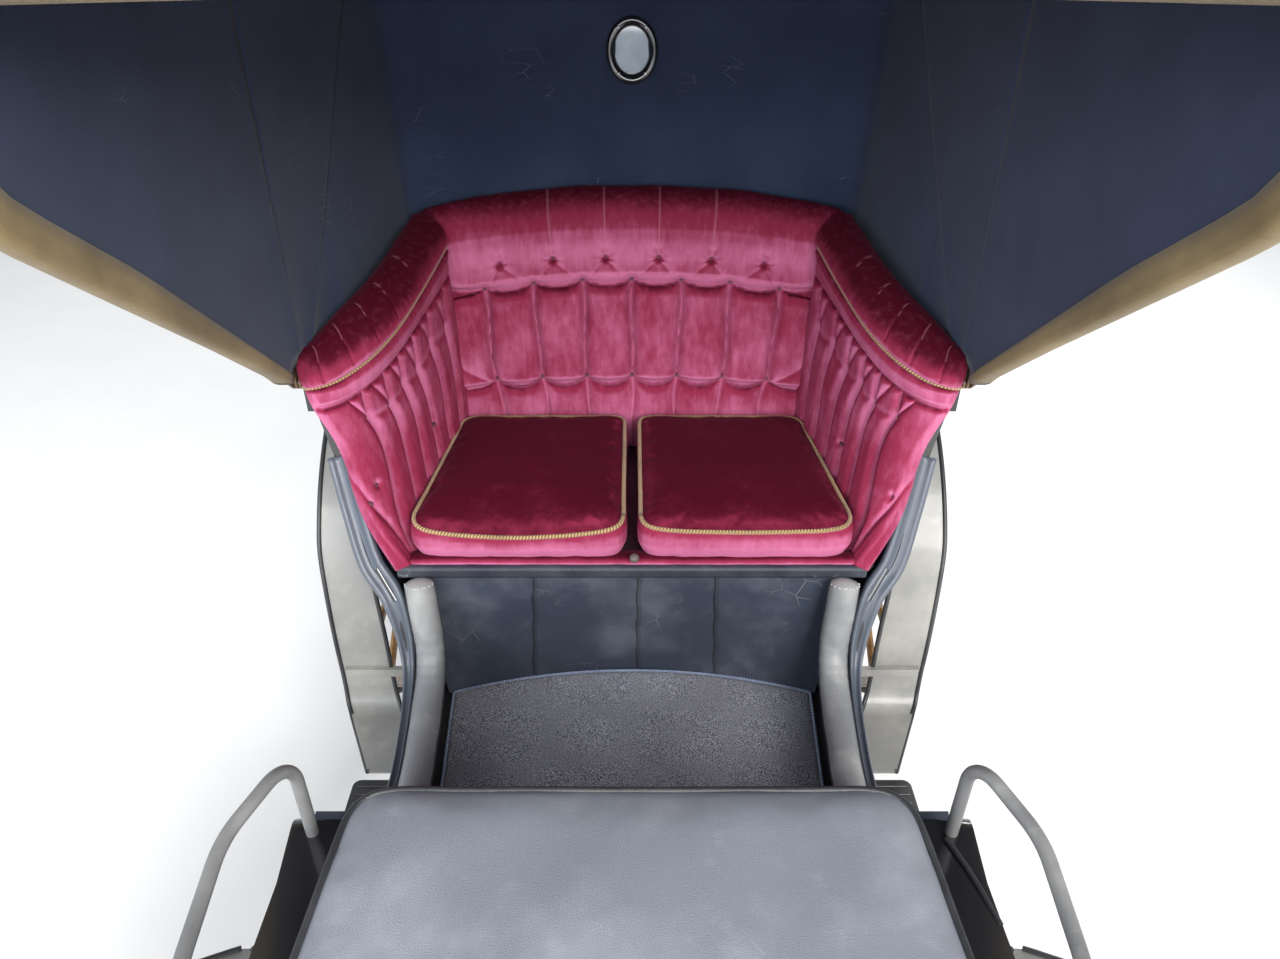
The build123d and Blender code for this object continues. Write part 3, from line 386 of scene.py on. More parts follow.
# %% Paint and metal
def paint(name, base, rough=0.16, coat=1.0, ripple=0.25):
    material, root = open_material(name)
    wave = noise(root, 11.0, 2.0)
    dust = noise(root, 60.0, 4.0, 0.7)
    scuff = cells(root, 40.0, feature="DISTANCE_TO_EDGE").ramp(0.008, 0.0)
    scuff = scuff * noise(root, 6.0, 2.0).ramp(0.58, 0.70)
    pale = tuple(min(1.0, c * 2.2 + 0.02) for c in base)
    colour = mix(root, dust.ramp(0.55, 0.85) * 0.35 + scuff * 0.3, base, pale)
    looks = {"Base Color": colour, "Roughness": dust * 0.14 + rough, "Coat Weight": coat,
             "Coat Roughness": 0.06, "Normal": bump(root, wave, 0.0008, ripple)}
    return close_material(material, root, looks)


def metal(name, base, rough=0.22):
    material, root = open_material(name)
    tarnish = noise(root, 55.0, 4.0, 0.65)
    colour = mix(root, tarnish.ramp(0.45, 0.8) * 0.5, base, tuple(c * 0.45 for c in base))
    looks = {"Base Color": colour, "Metallic": 1.0, "Roughness": tarnish * 0.25 + rough,
             "Normal": bump(root, tarnish, 0.0004, 0.4)}
    return close_material(material, root, looks)


def rubber():
    material, root = open_material("tyre_rubber")
    dust = noise(root, 30.0, 4.0, 0.65)
    colour = mix(root, dust.ramp(0.4, 0.8) * 0.6, (0.018, 0.018, 0.019), (0.11, 0.10, 0.085))
    looks = {"Base Color": colour, "Roughness": 0.78, "Normal": bump(root, dust, 0.001, 0.4)}
    return close_material(material, root, looks)


def glass():
    material, root = open_material("window_glass")
    smear = noise(root, 24.0, 3.0)
    colour = mix(root, smear.ramp(0.3, 0.8), (0.42, 0.50, 0.60), (0.55, 0.63, 0.72))
    looks = {"Base Color": colour, "Roughness": smear * 0.08 + 0.03, "Coat Weight": 1.0, "Alpha": 0.9}
    return close_material(material, root, looks)


LACQUER = paint("coach_lacquer", (0.008, 0.008, 0.010))
RIDGE = paint("moulding_lacquer", (0.012, 0.013, 0.017), 0.12)
# black moulding lacquer painted pale grey-blue: painted sky reflection, with dust
PALE_RIDGE = paint("sky_lit_lacquer", (0.068, 0.082, 0.108), 0.42, 0.25)
IRON = paint("black_iron", (0.012, 0.012, 0.013), 0.3, 0.35, 0.6)
BRASS = metal("brass", (0.72, 0.50, 0.22))
NICKEL = metal("nickel", (0.62, 0.62, 0.60))
DULL_STUD = metal("dull_stud", (0.30, 0.20, 0.19), 0.45)
RUBBER = rubber()
GLASS = glass()
print("paint, metal, rubber and glass ready")

# %% Varnished wood
WOOD_LIGHT = (0.330, 0.175, 0.050)
WOOD_DARK = (0.120, 0.052, 0.014)
LINE_BLACK = (0.012, 0.010, 0.009)


def wood(name, light, dark, stretch=(1, 1, 1), coat=0.7, rings=None):
    """Grain stretched along one axis. rings = (y, z, radii) paints fine dark lines round a hub."""
    material, root = open_material(name)
    grain = noise(root, 38.0, 5.0, 0.65, stretch)
    fibre = noise(root, 160.0, 3.0, 0.6, stretch)
    age = noise(root, 4.0, 3.0)
    colour = mix(root, grain.ramp(0.30, 0.72), dark, light)
    colour = mix(root, age.ramp(0.4, 0.8) * 0.5, colour, dark)
    if rings:
        coordinates = root.node("ShaderNodeTexCoord", out="Object")
        where = root.node("ShaderNodeSeparateXYZ", {}, {0: coordinates}, None)
        across, up = (Wire(root.tree, where.outputs[i]) - rings[i - 1] for i in (1, 2))
        reach = root.sum("SQRT", across * across + up * up)
        for radius in rings[2]:
            line = abs(reach - radius).ramp(0.0032, 0.0022)
            colour = mix(root, line, colour, LINE_BLACK)
    looks = {"Base Color": colour, "Roughness": fibre * 0.2 + 0.28, "Coat Weight": coat,
             "Coat Roughness": 0.08, "Normal": bump(root, fibre, 0.0006, 0.5)}
    return close_material(material, root, looks)


# painted lines: two on the felloe, measured in from the rim, and one round the hub
OUTER_LINE, INNER_LINE, HUB_LINE = 0.006, 0.038, 0.056
WHEELS = ("rear_left", "rear_right", "front_left", "front_right")


def wheel_wood(wheel):
    """Varnish with lines on both edges of the felloe and round the hub."""
    low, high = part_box("wheel_" + wheel)
    centre = middle("wheel_" + wheel)
    rim = (high[2] - low[2]) / 2
    radii = (rim - OUTER_LINE, rim - INNER_LINE, HUB_LINE)
    return wood("wheel_varnish_" + wheel, WOOD_LIGHT, WOOD_DARK, (1, 1, 1), 0.8, (centre.y, centre.z, radii))


SHAFT_WOOD = wood("shaft_varnish", WOOD_LIGHT, WOOD_DARK, (3.0, 0.25, 3.0))
CROSS_WOOD = wood("cross_varnish", WOOD_LIGHT, WOOD_DARK, (0.25, 3.0, 3.0))
BOW_WOOD = wood("bow_wood", (0.16, 0.085, 0.03), (0.05, 0.025, 0.01), (1, 1, 1), 0.3)
BOARD_WOOD = wood("painted_boards", (0.030, 0.030, 0.032), (0.012, 0.012, 0.013), (0.25, 3.0, 3.0), 0.1)
print("woods ready")

# %% [markdown]
# ## A finish for every node of the frame
# A rigid part whose shape is right keeps its mesh. Only its material slot changes, so it is enough to go
# through a table of finishes and the nodes that wear them.

# %% Paint the frame
FINISHES = (
    (LACQUER, ("tub_back", "tub_side_left", "tub_side_right", "side_panel_left", "side_panel_right",
               "driver_boot", "driver_seat_board", "window_bezel")),
    (LEATHER, ("heelboard", "toe_panel")),
    (RAIL_LEATHER, ("seat_rail",)),
    (ROD_LEATHER, ("driver_rails",)),
    (PATENT, ("rear_fender_left", "rear_fender_right", "front_fenders", "dashboard", "fender_irons")),
    (BOARD_WOOD, ("bottom_boards", "seat_board", "footboard")),
    (BOW_WOOD, ("hood_bow_rear", "hood_bow_mid", "hood_bow_front")),
    (SHAFT_WOOD, ("shaft_left", "shaft_right")),
    (CROSS_WOOD, ("shaft_crossbar", "swingletree", "fore_bed", "upper_bed")),
    (IRON, ("rear_axle", "front_axle", "rear_springs", "front_springs", "body_irons", "steps",
            "hood_pivots", "upper_wheel_plate", "lower_wheel_plate", "splinter_bar", "shaft_irons")),
    (RUBBER, tuple("tyre_" + wheel for wheel in WHEELS)),
    (GLASS, ("window_glass",)),
)


def paint_node(node, material):
    """Gives every slot of a node one material."""
    for slot in frame["nodes"][node].material_slots:
        slot.material = material


for finish, nodes in FINISHES:
    for node in nodes:
        paint_node(node, finish)
for wheel in WHEELS:
    paint_node("wheel_" + wheel, wheel_wood(wheel))
print("finishes given to", sum(len(nodes) for _, nodes in FINISHES) + len(WHEELS), "nodes")

# %% [markdown]
# ## Making meshes
# A soft surface is a grid of points. A short table gives a few real points on it, a smooth curve is run
# through them both ways, and the grid is then pushed out along its normals where it is stuffed.

# %% Mesh helpers
def link(obj):
    bpy.context.scene.collection.objects.link(obj)
    return obj


def hang(obj, body, replaces=()):
    """Says which body a piece rides on and the nodes that it stands for."""
    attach(obj, body)
    if replaces:
        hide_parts(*replaces)
    return obj


def make_mesh(name, points, faces, material, closed=False):
    """A smooth object with its place in its mesh."""
    mesh = bpy.data.meshes.new(name)
    mesh.from_pydata(to_row(points).tolist(), [], faces)
    if closed:
        work = bmesh.new()
        work.from_mesh(mesh)
        bmesh.ops.remove_doubles(work, verts=work.verts, dist=1e-5)
        bmesh.ops.recalc_face_normals(work, faces=work.faces)
        work.to_mesh(mesh)
        work.free()
    mesh.validate()
    mesh.shade_smooth()
    mesh.materials.append(material)
    return link(bpy.data.objects.new(name, mesh))


def stamp(obj, name, values):
    """A number on every point of a mesh, for its material to read."""
    layer = obj.data.attributes.new(name, "FLOAT", "POINT")
    layer.data.foreach_set("value", np.asarray(values, dtype=np.float32).ravel())


def grid_faces(rows, columns, round_rows=False, round_columns=False):
    """Four-sided faces between the points of a grid, listed row by row."""
    faces = []
    for row in range(rows if round_rows else rows - 1):
        above = (row + 1) % rows
        for column in range(columns if round_columns else columns - 1):
            right = (column + 1) % columns
            faces.append((row * columns + column, row * columns + right, above * columns + right,
                          above * columns + column))
    return faces


def end_caps(rings, sides):
    """Faces that close both ends of a tube of points, listed ring by ring."""
    return [tuple(range(sides))[::-1], tuple(range((rings - 1) * sides, rings * sides))]


def grid_mesh(name, grid, material, towards, round_columns=False):
    """A sheet from a grid of points, its faces turned towards a given direction."""
    rows, columns, _ = grid.shape
    faces = grid_faces(rows, columns, round_columns=round_columns)
    sample = np.array([grid.reshape(-1, 3)[list(face[:3])] for face in faces[::7]])
    normal = np.cross(sample[:, 1] - sample[:, 0], sample[:, 2] - sample[:, 1])
    if (normal @ np.array(towards, dtype=float)).sum() < 0:
        faces = [face[::-1] for face in faces]
    return make_mesh(name, grid.reshape(-1, 3), faces, material)


def thicken(obj, thickness, offset=0):
    """A wall for a thin sheet: centred on it, or below it with an offset of -1."""
    wall = obj.modifiers.new("Thick", "SOLIDIFY")
    wall.thickness = thickness
    wall.offset = offset


def smooth_line(points, count, closed=False):
    """A smooth curve through a few points."""
    line = np.array(points, dtype=float)
    if closed:
        spans = len(line)
        padded = np.vstack([line[-1:], line, line[:2]])
    else:
        spans = len(line) - 1
        padded = np.vstack([2 * line[0] - line[1], line, 2 * line[-1] - line[-2]])
    at = np.linspace(0, spans, count, endpoint=not closed)
    first = np.minimum(at.astype(int), spans - 1)
    t = (at - first)[:, None]
    a, b, c, d = (padded[first + step] for step in range(4))
    return 0.5 * (2 * b + (c - a) * t + (2 * a - 5 * b + 4 * c - d) * t**2 + (3 * b - a - 3 * c + d) * t**3)


def smooth_values(values, count):
    """A few numbers, smoothly filled up to count."""
    return smooth_line([(value,) for value in values], count)[:, 0]


def smooth_down(lines, rows):
    """A grid of points through lines that lie one below the other."""
    columns = [smooth_line(lines[:, column], rows) for column in range(lines.shape[1])]
    return np.array(columns).transpose(1, 0, 2)


def smooth_sheet(table, rows, columns):
    """A grid of points through a table of rows of points."""
    return smooth_down(np.array([smooth_line(row, columns) for row in table]), rows)


def outward(grid, towards):
    """Unit normals of a grid of points, on the side of a given direction."""
    along = np.gradient(grid, axis=1)
    across = np.gradient(grid, axis=0)
    normal = np.cross(along, across)
    normal /= np.linalg.norm(normal, axis=2, keepdims=True) + 1e-12
    side = np.sign(np.sum(normal * np.array(towards), axis=(0, 1, 2)))
    return normal * side


def directions(path):
    """Unit vectors along a line."""
    along = np.gradient(path, axis=0)
    return along / np.linalg.norm(along, axis=1, keepdims=True)


def even(line, step):
    """The same line with points a step apart."""
    line = np.array(line, dtype=float)
    gone = np.concatenate([[0], np.cumsum(np.linalg.norm(np.diff(line, axis=0), axis=1))])
    count = max(2, int(round(gone[-1] / step)) + 1)
    at = np.linspace(0, gone[-1], count)
    return np.stack([np.interp(at, gone, line[:, axis]) for axis in range(line.shape[1])], axis=1)


def flip(points):
    """The mirror image across the middle of the carriage."""
    mirrored = np.array(points, dtype=float)
    mirrored[..., 0] *= -1
    return mirrored


def step_up(value, low, high):
    """0 below low, 1 above high, smooth between. With low over high it falls."""
    share = np.clip((np.asarray(value, dtype=float) - low) / (high - low), 0, 1)
    return share * share * (3 - 2 * share)


print("mesh helpers ready")

# %% [markdown]
# ## Geometry trees for what repeats
# Cords, nails, stitches and buttons are the same small thing again and again along a line or on marked
# points. Geometry Nodes make them from named inputs. The result is turned into a plain mesh at once, because
# the export keeps no instances.

# %% Tree helpers
def open_tree(name, inputs):
    """A geometry tree with named inputs, given as (name, socket type, default)."""
    tree = bpy.data.node_groups.new(name, "GeometryNodeTree")
    tree.interface.new_socket("Geometry", in_out="INPUT", socket_type="NodeSocketGeometry")
    for label, kind, default in inputs:
        socket = tree.interface.new_socket(label, in_out="INPUT", socket_type=kind)
        if default is not None:
            socket.default_value = default
    tree.interface.new_socket("Geometry", in_out="OUTPUT", socket_type="NodeSocketGeometry")
    given = tree.nodes.new("NodeGroupInput")
    wires = {socket.name: Wire(tree, socket) for socket in given.outputs if socket.name}
    return tree, Wire(tree), wires


def close_tree(tree, root, geometry, material):
    """Ends a tree in real, smooth, painted geometry."""
    real = root.node("GeometryNodeRealizeInstances", {}, {"Geometry": geometry})
    smooth = root.node("GeometryNodeSetShadeSmooth", {}, {"Geometry": real})
    painted = root.node("GeometryNodeSetMaterial", {}, {"Geometry": smooth, "Material": material})
    root.node("NodeGroupOutput", {}, {"Geometry": painted}, None)
    return tree


FLOAT, WHOLE, FINISH = "NodeSocketFloat", "NodeSocketInt", "NodeSocketMaterial"


def store(root, geometry, name, value):
    """The same geometry with a number stored on its points."""
    given = {"Geometry": geometry, "Name": name, "Value": value}
    return root.node("GeometryNodeStoreNamedAttribute", {"data_type": "FLOAT", "domain": "POINT"}, given)


def spaced(root, given):
    """The given line as a curve with points at an even spacing."""
    line = root.node("GeometryNodeMeshToCurve", {}, {"Mesh": given["Geometry"]})
    evenly = {"Curve": line, "Length": given["Spacing"]}
    return root.node("GeometryNodeResampleCurve", {"mode": "LENGTH"}, evenly)


def domes(root, points, towards, radius, height, segments, rings):
    """A small rounded body on each point, with its height turned along a vector."""
    turn = root.node("FunctionNodeAlignRotationToVector", {"axis": "Z"}, {"Vector": towards})
    dome = root.node("GeometryNodeMeshUVSphere", {}, {"Segments": segments, "Rings": rings, "Radius": 1.0})
    size = root.node("ShaderNodeCombineXYZ", {}, {0: radius, 1: radius, 2: height})
    placed = {"Points": points, "Instance": dome, "Rotation": turn, "Scale": size}
    return root.node("GeometryNodeInstanceOnPoints", {}, placed)


def cord_tree():
    """A round cord along a line, which stores how far along and around each point is."""
    inputs = (("Radius", FLOAT, 0.004), ("Sides", WHOLE, 10), ("Finish", FINISH, None))
    tree, root, given = open_tree("cord_along_line", inputs)
    line = root.node("GeometryNodeMeshToCurve", {}, {"Mesh": given["Geometry"]})
    line = store(root, line, "along", root.node("GeometryNodeSplineParameter", out="Length"))
    circle = {"Resolution": given["Sides"], "Radius": given["Radius"]}
    ring = root.node("GeometryNodeCurvePrimitiveCircle", {}, circle)
    ring = store(root, ring, "around", root.node("GeometryNodeSplineParameter", out="Factor"))
    tube = root.node("GeometryNodeCurveToMesh", {}, {"Curve": line, "Profile Curve": ring, "Fill Caps": True})
    return close_tree(tree, root, tube, given["Finish"])


def bead_tree():
    """Domed nail heads at an even spacing along a line."""
    inputs = (("Spacing", FLOAT, 0.02), ("Radius", FLOAT, 0.003), ("Finish", FINISH, None))
    tree, root, given = open_tree("nails_along_line", inputs)
    head = root.node("GeometryNodeMeshUVSphere", {}, {"Segments": 8, "Rings": 5, "Radius": given["Radius"]})
    placed = {"Points": spaced(root, given), "Instance": head}
    row = root.node("GeometryNodeInstanceOnPoints", {}, placed)
    return close_tree(tree, root, row, given["Finish"])


def stitch_tree():
    """Stitches laid end to end along a line."""
    inputs = (("Spacing", FLOAT, 0.006), ("Length", FLOAT, 0.004), ("Radius", FLOAT, 0.0006),
              ("Finish", FINISH, None))
    tree, root, given = open_tree("stitches_along_line", inputs)
    tangent = root.node("GeometryNodeInputTangent")
    threads = domes(root, spaced(root, given), tangent, given["Radius"], given["Length"] * 0.5, 6, 4)
    return close_tree(tree, root, threads, given["Finish"])


def button_tree():
    """A low dome or a bolt head at each marked point, turned to the point's own `facing`."""
    inputs = (("Radius", FLOAT, 0.006), ("Height", FLOAT, 0.003), ("Sides", WHOLE, 12),
              ("Finish", FINISH, None))
    tree, root, given = open_tree("heads_on_points", inputs)
    towards = root.node("GeometryNodeInputNamedAttribute", {"data_type": "FLOAT_VECTOR"}, {"Name": "facing"})
    caps = domes(root, given["Geometry"], towards, given["Radius"], given["Height"], given["Sides"], 7)
    return close_tree(tree, root, caps, given["Finish"])


CORD_TREE = cord_tree()
BEAD_TREE = bead_tree()
STITCH_TREE = stitch_tree()
BUTTON_TREE = button_tree()


# %% Growing a piece from a tree
def grow(name, points, runs, tree, values, body, towards=None):
    """Runs a tree on lines or marked points and keeps a plain mesh. runs are (first, last, closed)."""
    edges = []
    for first, last, closed in runs:
        edges += [(i, i + 1) for i in range(first, last)]
        if closed:
            edges.append((last, first))
    seed = bpy.data.meshes.new(name + "_seed")
    seed.from_pydata(to_row(points).tolist(), edges, [])
    if towards is not None:
        facing_data = seed.attributes.new("facing", "FLOAT_VECTOR", "POINT")
        facing_data.data.foreach_set("vector", np.array(towards, dtype=float).ravel())
    source = link(bpy.data.objects.new(name + "_seed", seed))
    modifier = source.modifiers.new("Grow", "NODES")
    modifier.node_group = tree
    for item in tree.interface.items_tree:
        if item.in_out == "INPUT" and item.name in values:
            modifier[item.identifier] = values[item.name]
    graph = bpy.context.evaluated_depsgraph_get()
    mesh = bpy.data.meshes.new_from_object(source.evaluated_get(graph), depsgraph=graph)
    mesh.name = name
    bpy.data.objects.remove(source)
    if not mesh.materials:
        mesh.materials.append(values["Finish"])
    return hang(link(bpy.data.objects.new(name, mesh)), body)


def lines_to_seed(lines, closed=False):
    """Several lines as one list of points and their runs."""
    points, runs = [], []
    for line in lines:
        runs.append((len(points), len(points) + len(line) - 1, closed))
        points.extend(np.array(line).tolist())
    return points, runs


def cord(name, lines, radius, finish, body, sides=10, closed=False):
    points, runs = lines_to_seed(lines, closed)
    values = {"Radius": radius, "Sides": sides, "Finish": finish}
    return grow(name, points, runs, CORD_TREE, values, body)


def nails(name, lines, radius, spacing, finish, body):
    points, runs = lines_to_seed(lines)
    values = {"Radius": radius, "Spacing": spacing, "Finish": finish}
    return grow(name, points, runs, BEAD_TREE, values, body)


STITCH = {"Length": 0.0045, "Spacing": 0.0065, "Radius": 0.0007}


def stitches(name, lines, finish, body):
    points, runs = lines_to_seed(lines)
    return grow(name, points, runs, STITCH_TREE, {**STITCH, "Finish": finish}, body)


def heads(name, points, towards, radius, height, finish, body, sides=12):
    values = {"Radius": radius, "Height": height, "Sides": sides, "Finish": finish}
    return grow(name, points, [], BUTTON_TREE, values, body, towards)


print("four geometry trees ready")

# %% [markdown]
# ## Buttoning
# Deep buttoning is stuffing held back along creases. Each crease is a line on the flat cloth with a width and
# a depth. The height at a point is 1 on top of a pleat and falls along a quarter circle to the nearest
# crease, which is just the section that a stuffed pleat has.

# %% Pleats from creases
def gap_to(flat, start, end):
    """How far each point of the flat cloth lies from a straight line."""
    start, run = np.array(start, float), np.array(end, float) - np.array(start, float)
    share = np.clip(((flat - start) @ run) / (run @ run + 1e-12), 0, 1)
    return np.linalg.norm(flat - start - share[..., None] * run, axis=-1)


def pillow(flat, creases):
    """Height of the stuffing, from 0 in a full crease to 1. creases are (start, end, width, depth)."""
    height = np.ones(flat.shape[:-1])
    for start, end, width, depth in creases:
        near = np.clip(gap_to(flat, start, end) / width, 0, 1)
        height = np.minimum(height, 1 - depth * (1 - np.sqrt(1 - (1 - near) ** 2)))
    return height


def chain(points, width, depth):
    """One crease along several points."""
    return [(a, b, width, depth) for a, b in zip(points, points[1:])]


def bent(start, end, aside, width, depth, parts):
    """One crease in several parts. aside gives the move in x and y at each share of the way."""
    points = []
    for s in np.linspace(0, 1, parts + 1):
        x, y = aside(s)
        points.append((start[0] + (end[0] - start[0]) * s + x, start[1] + (end[1] - start[1]) * s + y))
    return chain(points, width, depth)


def hanging(start, end, sag, width, depth, parts=6):
    """A crease that hangs in a shallow curve from one button to the next."""
    return bent(start, end, lambda s: (0.0, -sag * 4 * s * (1 - s)), width, depth, parts)


def wavy(start, end, swing, width, depth):
    """A crease that swings to one side and back, as hand-laid pleats do."""
    return bent(start, end, lambda s: (swing * sin(2 * pi * s), 0.0), width, depth, 8)


# folds round a button: their height, how fast they fade, the calm spot in the middle, and how many
PUCKER_HEIGHT, PUCKER_REACH, PUCKER_HOLLOW, PUCKER_FOLDS = 0.0012, 0.016, 0.008, 7
# how many waves make the unevenness, and the steepest in radians a metre
WAVES, STEEPEST_WAVE = 10, 38


def puckers(flat, buttons):
    """Small folds that radiate from each button."""
    lift = np.zeros(flat.shape[:-1])
    for index, button in enumerate(buttons):
        away = flat - np.array(button)
        distance = np.linalg.norm(away, axis=-1)
        angle = np.arctan2(away[..., 1], away[..., 0])
        folds = PUCKER_HEIGHT * np.exp(-distance / PUCKER_REACH) * np.cos(PUCKER_FOLDS * angle + index)
        lift += folds * np.clip(distance / PUCKER_HOLLOW, 0, 1)
    return lift


def unevenness(flat, size, seed):
    """Low waves that keep hand-stuffed work from looking machined."""
    luck = np.random.default_rng(seed)
    lift = np.zeros(flat.shape[:-1])
    for _ in range(WAVES):
        wave = luck.uniform(-STEEPEST_WAVE, STEEPEST_WAVE, 2)
        lift += np.sin(flat @ wave + luck.uniform(0, 6.3)) / WAVES
    return lift * size


def seam_lines(flat, lines, width=0.0016):
    """1 on thin stitched lines of the cloth and 0 elsewhere."""
    found = np.zeros(flat.shape[:-1])
    for start, end in lines:
        found = np.maximum(found, np.clip(1.6 - gap_to(flat, start, end) / width, 0, 1))
    return found


# %% [markdown]
# ## The backrest
# Long pleats run between two rows of seven buttons, a row of diamonds closes them above, and a fat roll ends
# the squab at the rim. The table gives the crease line of the squab from the seat to the rim, in the middle
# and at its ends.

# %% Backrest
BACK_ROWS = (
    # height on the cloth, then at the middle y and z, then at the ends y and z, then half the width
    (0.803, 0.548, 0.803, 0.536, 0.803, 0.446),
    (0.930, 0.562, 0.930, 0.545, 0.925, 0.452),
    (1.000, 0.580, 1.000, 0.558, 0.985, 0.468),
    (1.100, 0.602, 1.100, 0.572, 1.080, 0.482),
    (1.235, 0.634, 1.240, 0.602, 1.200, 0.494),
    (1.290, 0.648, 1.293, 0.610, 1.262, 0.500),
    (1.345, 0.652, 1.345, 0.612, 1.310, 0.508),
    (1.395, 0.668, 1.388, 0.622, 1.345, 0.516),
    (1.440, 0.706, 1.408, 0.644, 1.366, 0.522),
    (1.490, 0.742, 1.396, 0.676, 1.358, 0.532),
    (1.540, 0.752, 1.366, 0.704, 1.334, 0.560),
)
BACK_HALF, BACK_BOW = 0.5, 2.4
BUTTON_STEP, UPPER_STEP = 0.125, 0.132
LAST_BUTTON = 3 * BUTTON_STEP
BOTTOM_ROW, SECOND_ROW, UPPER_ROW = 1.000, 1.235, 1.293
BOTTOM_SAG, SECOND_SAG = 0.024, 0.012
# how much of its own thickness a pleat hangs down over the row of buttons below it
BOTTOM_HANG, SECOND_HANG = 0.42, 0.30
BUTTON_RADIUS, BUTTON_HEIGHT, BUTTON_OUT = 0.0064, 0.0042, 0.0035
BUTTON_CLOTH = velvet("button_velvet", (0.040, 0.012, 0.020), (0.090, 0.035, 0.050), (0.14, 0.07, 0.09))
# thickness of the stuffing up the backrest: height on the cloth, thickness
BACK_STUFFING = ((0.79, 0.020), (0.99, 0.022), (1.01, 0.036), (1.20, 0.034), (1.235, 0.026), (1.26, 0.040),
                 (1.36, 0.048), (1.44, 0.042), (1.49, 0.010), (1.54, 0.002))


def back_base(rows, columns):
    """The crease surface of the backrest, and the flat place of each of its points."""
    across = np.linspace(-1, 1, columns)
    bow = 1 - np.abs(across) ** BACK_BOW
    lines = []
    for _, y_mid, z_mid, y_end, z_end, half in BACK_ROWS:
        line = (half * across, y_end + (y_mid - y_end) * bow, z_end + (z_mid - z_end) * bow)
        lines.append(np.stack(line, axis=1))
    cloth = smooth_values([row[0] for row in BACK_ROWS], rows)
    flat = np.stack(np.meshgrid(across * BACK_HALF, cloth), axis=-1)
    return smooth_down(np.array(lines), rows), flat


def back_creases():
    """Every crease of the backrest, its buttons and its seams, on the flat cloth."""
    lower = [(k * BUTTON_STEP, BOTTOM_ROW) for k in range(-3, 4)]
    second = [(k * BUTTON_STEP, SECOND_ROW) for k in range(-3, 4)]
    upper = [((k + 0.5) * UPPER_STEP, UPPER_ROW) for k in range(-3, 3)]
    creases, seams = [], []
    for index, (low, high) in enumerate(zip(lower, second)):
        swing = 0.0035 * (-1) ** index
        creases += wavy(high, low, swing, 0.030, 1.0)
        creases += wavy(low, (low[0] * 0.97, 0.79), -swing, 0.034, 0.75)
    for left, right in zip(lower, lower[1:]):
        creases += hanging(left, right, BOTTOM_SAG, 0.030, 1.0)
    for left, right in zip(second, second[1:]):
        creases += hanging(left, right, SECOND_SAG, 0.026, 0.95)
    for index, button in enumerate(upper):
        creases += hanging(button, second[index], 0.004, 0.020, 0.07)
        creases += hanging(button, second[index + 1], 0.004, 0.020, 0.07)
        creases.append((button, (button[0], 1.44), 0.012, 0.10))
        creases.append((button, (button[0], button[1] + 0.026), 0.026, 0.18))
        creases.append((button, (button[0], button[1] + 0.003), 0.019, 0.85))
        if 0 < index < 5:
            seams.append((button, (button[0], 1.47)))
    for end in (-1, 1):
        rim, last = end * BACK_HALF, end * LAST_BUTTON
        creases.append(((rim, 0.78), (rim, 1.30), 0.040, 1.0))
        creases.append(((rim, 1.30), (rim, 1.47), 0.030, 0.7))
        creases += hanging((last, SECOND_ROW), (rim, SECOND_ROW + 0.040), 0.012, 0.028, 0.8)
        creases += hanging((last, BOTTOM_ROW), (rim, BOTTOM_ROW - 0.02), 0.012, 0.030, 0.7)
        creases += hanging((last, BOTTOM_ROW), (rim, BOTTOM_ROW + 0.09), 0.010, 0.030, 0.25)
    return creases, lower + second + upper, seams


def on_grid(flat, spots):
    """The grid's points nearest to some spots on the flat cloth."""
    picked = []
    for spot in spots:
        gap = np.linalg.norm(flat - np.array(spot), axis=-1)
        picked.append(np.unravel_index(np.argmin(gap), gap.shape))
    return picked


def sew_buttons(name, flat, buttons, stuffed, normal):
    """Covered buttons on the stuffed cloth, at their places on the flat cloth."""
    spots = on_grid(flat, buttons)
    heads(name, [stuffed[s] + normal[s] * BUTTON_OUT for s in spots], [normal[s] for s in spots],
          BUTTON_RADIUS, BUTTON_HEIGHT, BUTTON_CLOTH, BODY)


def squab(name, node, stuffed, towards, fold, seam):
    """A squab of tufted velvet in place of a node, with its folds and seams stamped on it."""
    piece = grid_mesh(name, stuffed, TUFTED_VELVET, towards)
    stamp(piece, "fold", fold)
    stamp(piece, "seam", seam)
    hang(piece, BODY, (node,))
    return piece


def backrest():
    """The whole backrest. Returns how many buttons hold it."""
    grid, flat = back_base(220, 330)
    across, up = flat[..., 0], flat[..., 1]
    creases, buttons, seams = back_creases()
    towards = (0, -1, 0.2)
    normal = outward(grid, towards)
    fold = pillow(flat, creases)
    depth = np.interp(up, *zip(*BACK_STUFFING))
    lift = depth * fold + puckers(flat, buttons) + unevenness(flat, 0.004, 3) * np.minimum(fold * 2, 1)
    lift *= step_up(up, 1.54, 1.47)
    share = (across / BUTTON_STEP) % 1
    hollow = 4 * share * (1 - share)
    over_bottom = step_up(up, 1.17, 1.03) * (up > BOTTOM_ROW - BOTTOM_SAG * hollow)
    over_second = step_up(up, 1.33, 1.25) * (up > SECOND_ROW - SECOND_SAG * hollow)
    stuffed = grid + normal * lift[..., None]
    stuffed[..., 2] -= (over_bottom * BOTTOM_HANG + over_second * SECOND_HANG) * lift
    squab("back_squab_velvet", "back_squab", stuffed, towards, fold, seam_lines(flat, seams))
    sew_buttons("back_buttons", flat, buttons, stuffed, normal)
    return len(buttons)


print("backrest with", backrest(), "buttons")

# %% [markdown]
# ## The arms
# Each arm is one piece of velvet: pleats rise from the cushion to a row of buttons, a smooth band runs under
# the gold braid, and above the braid the cloth turns over a padded roll to the hood's lining.

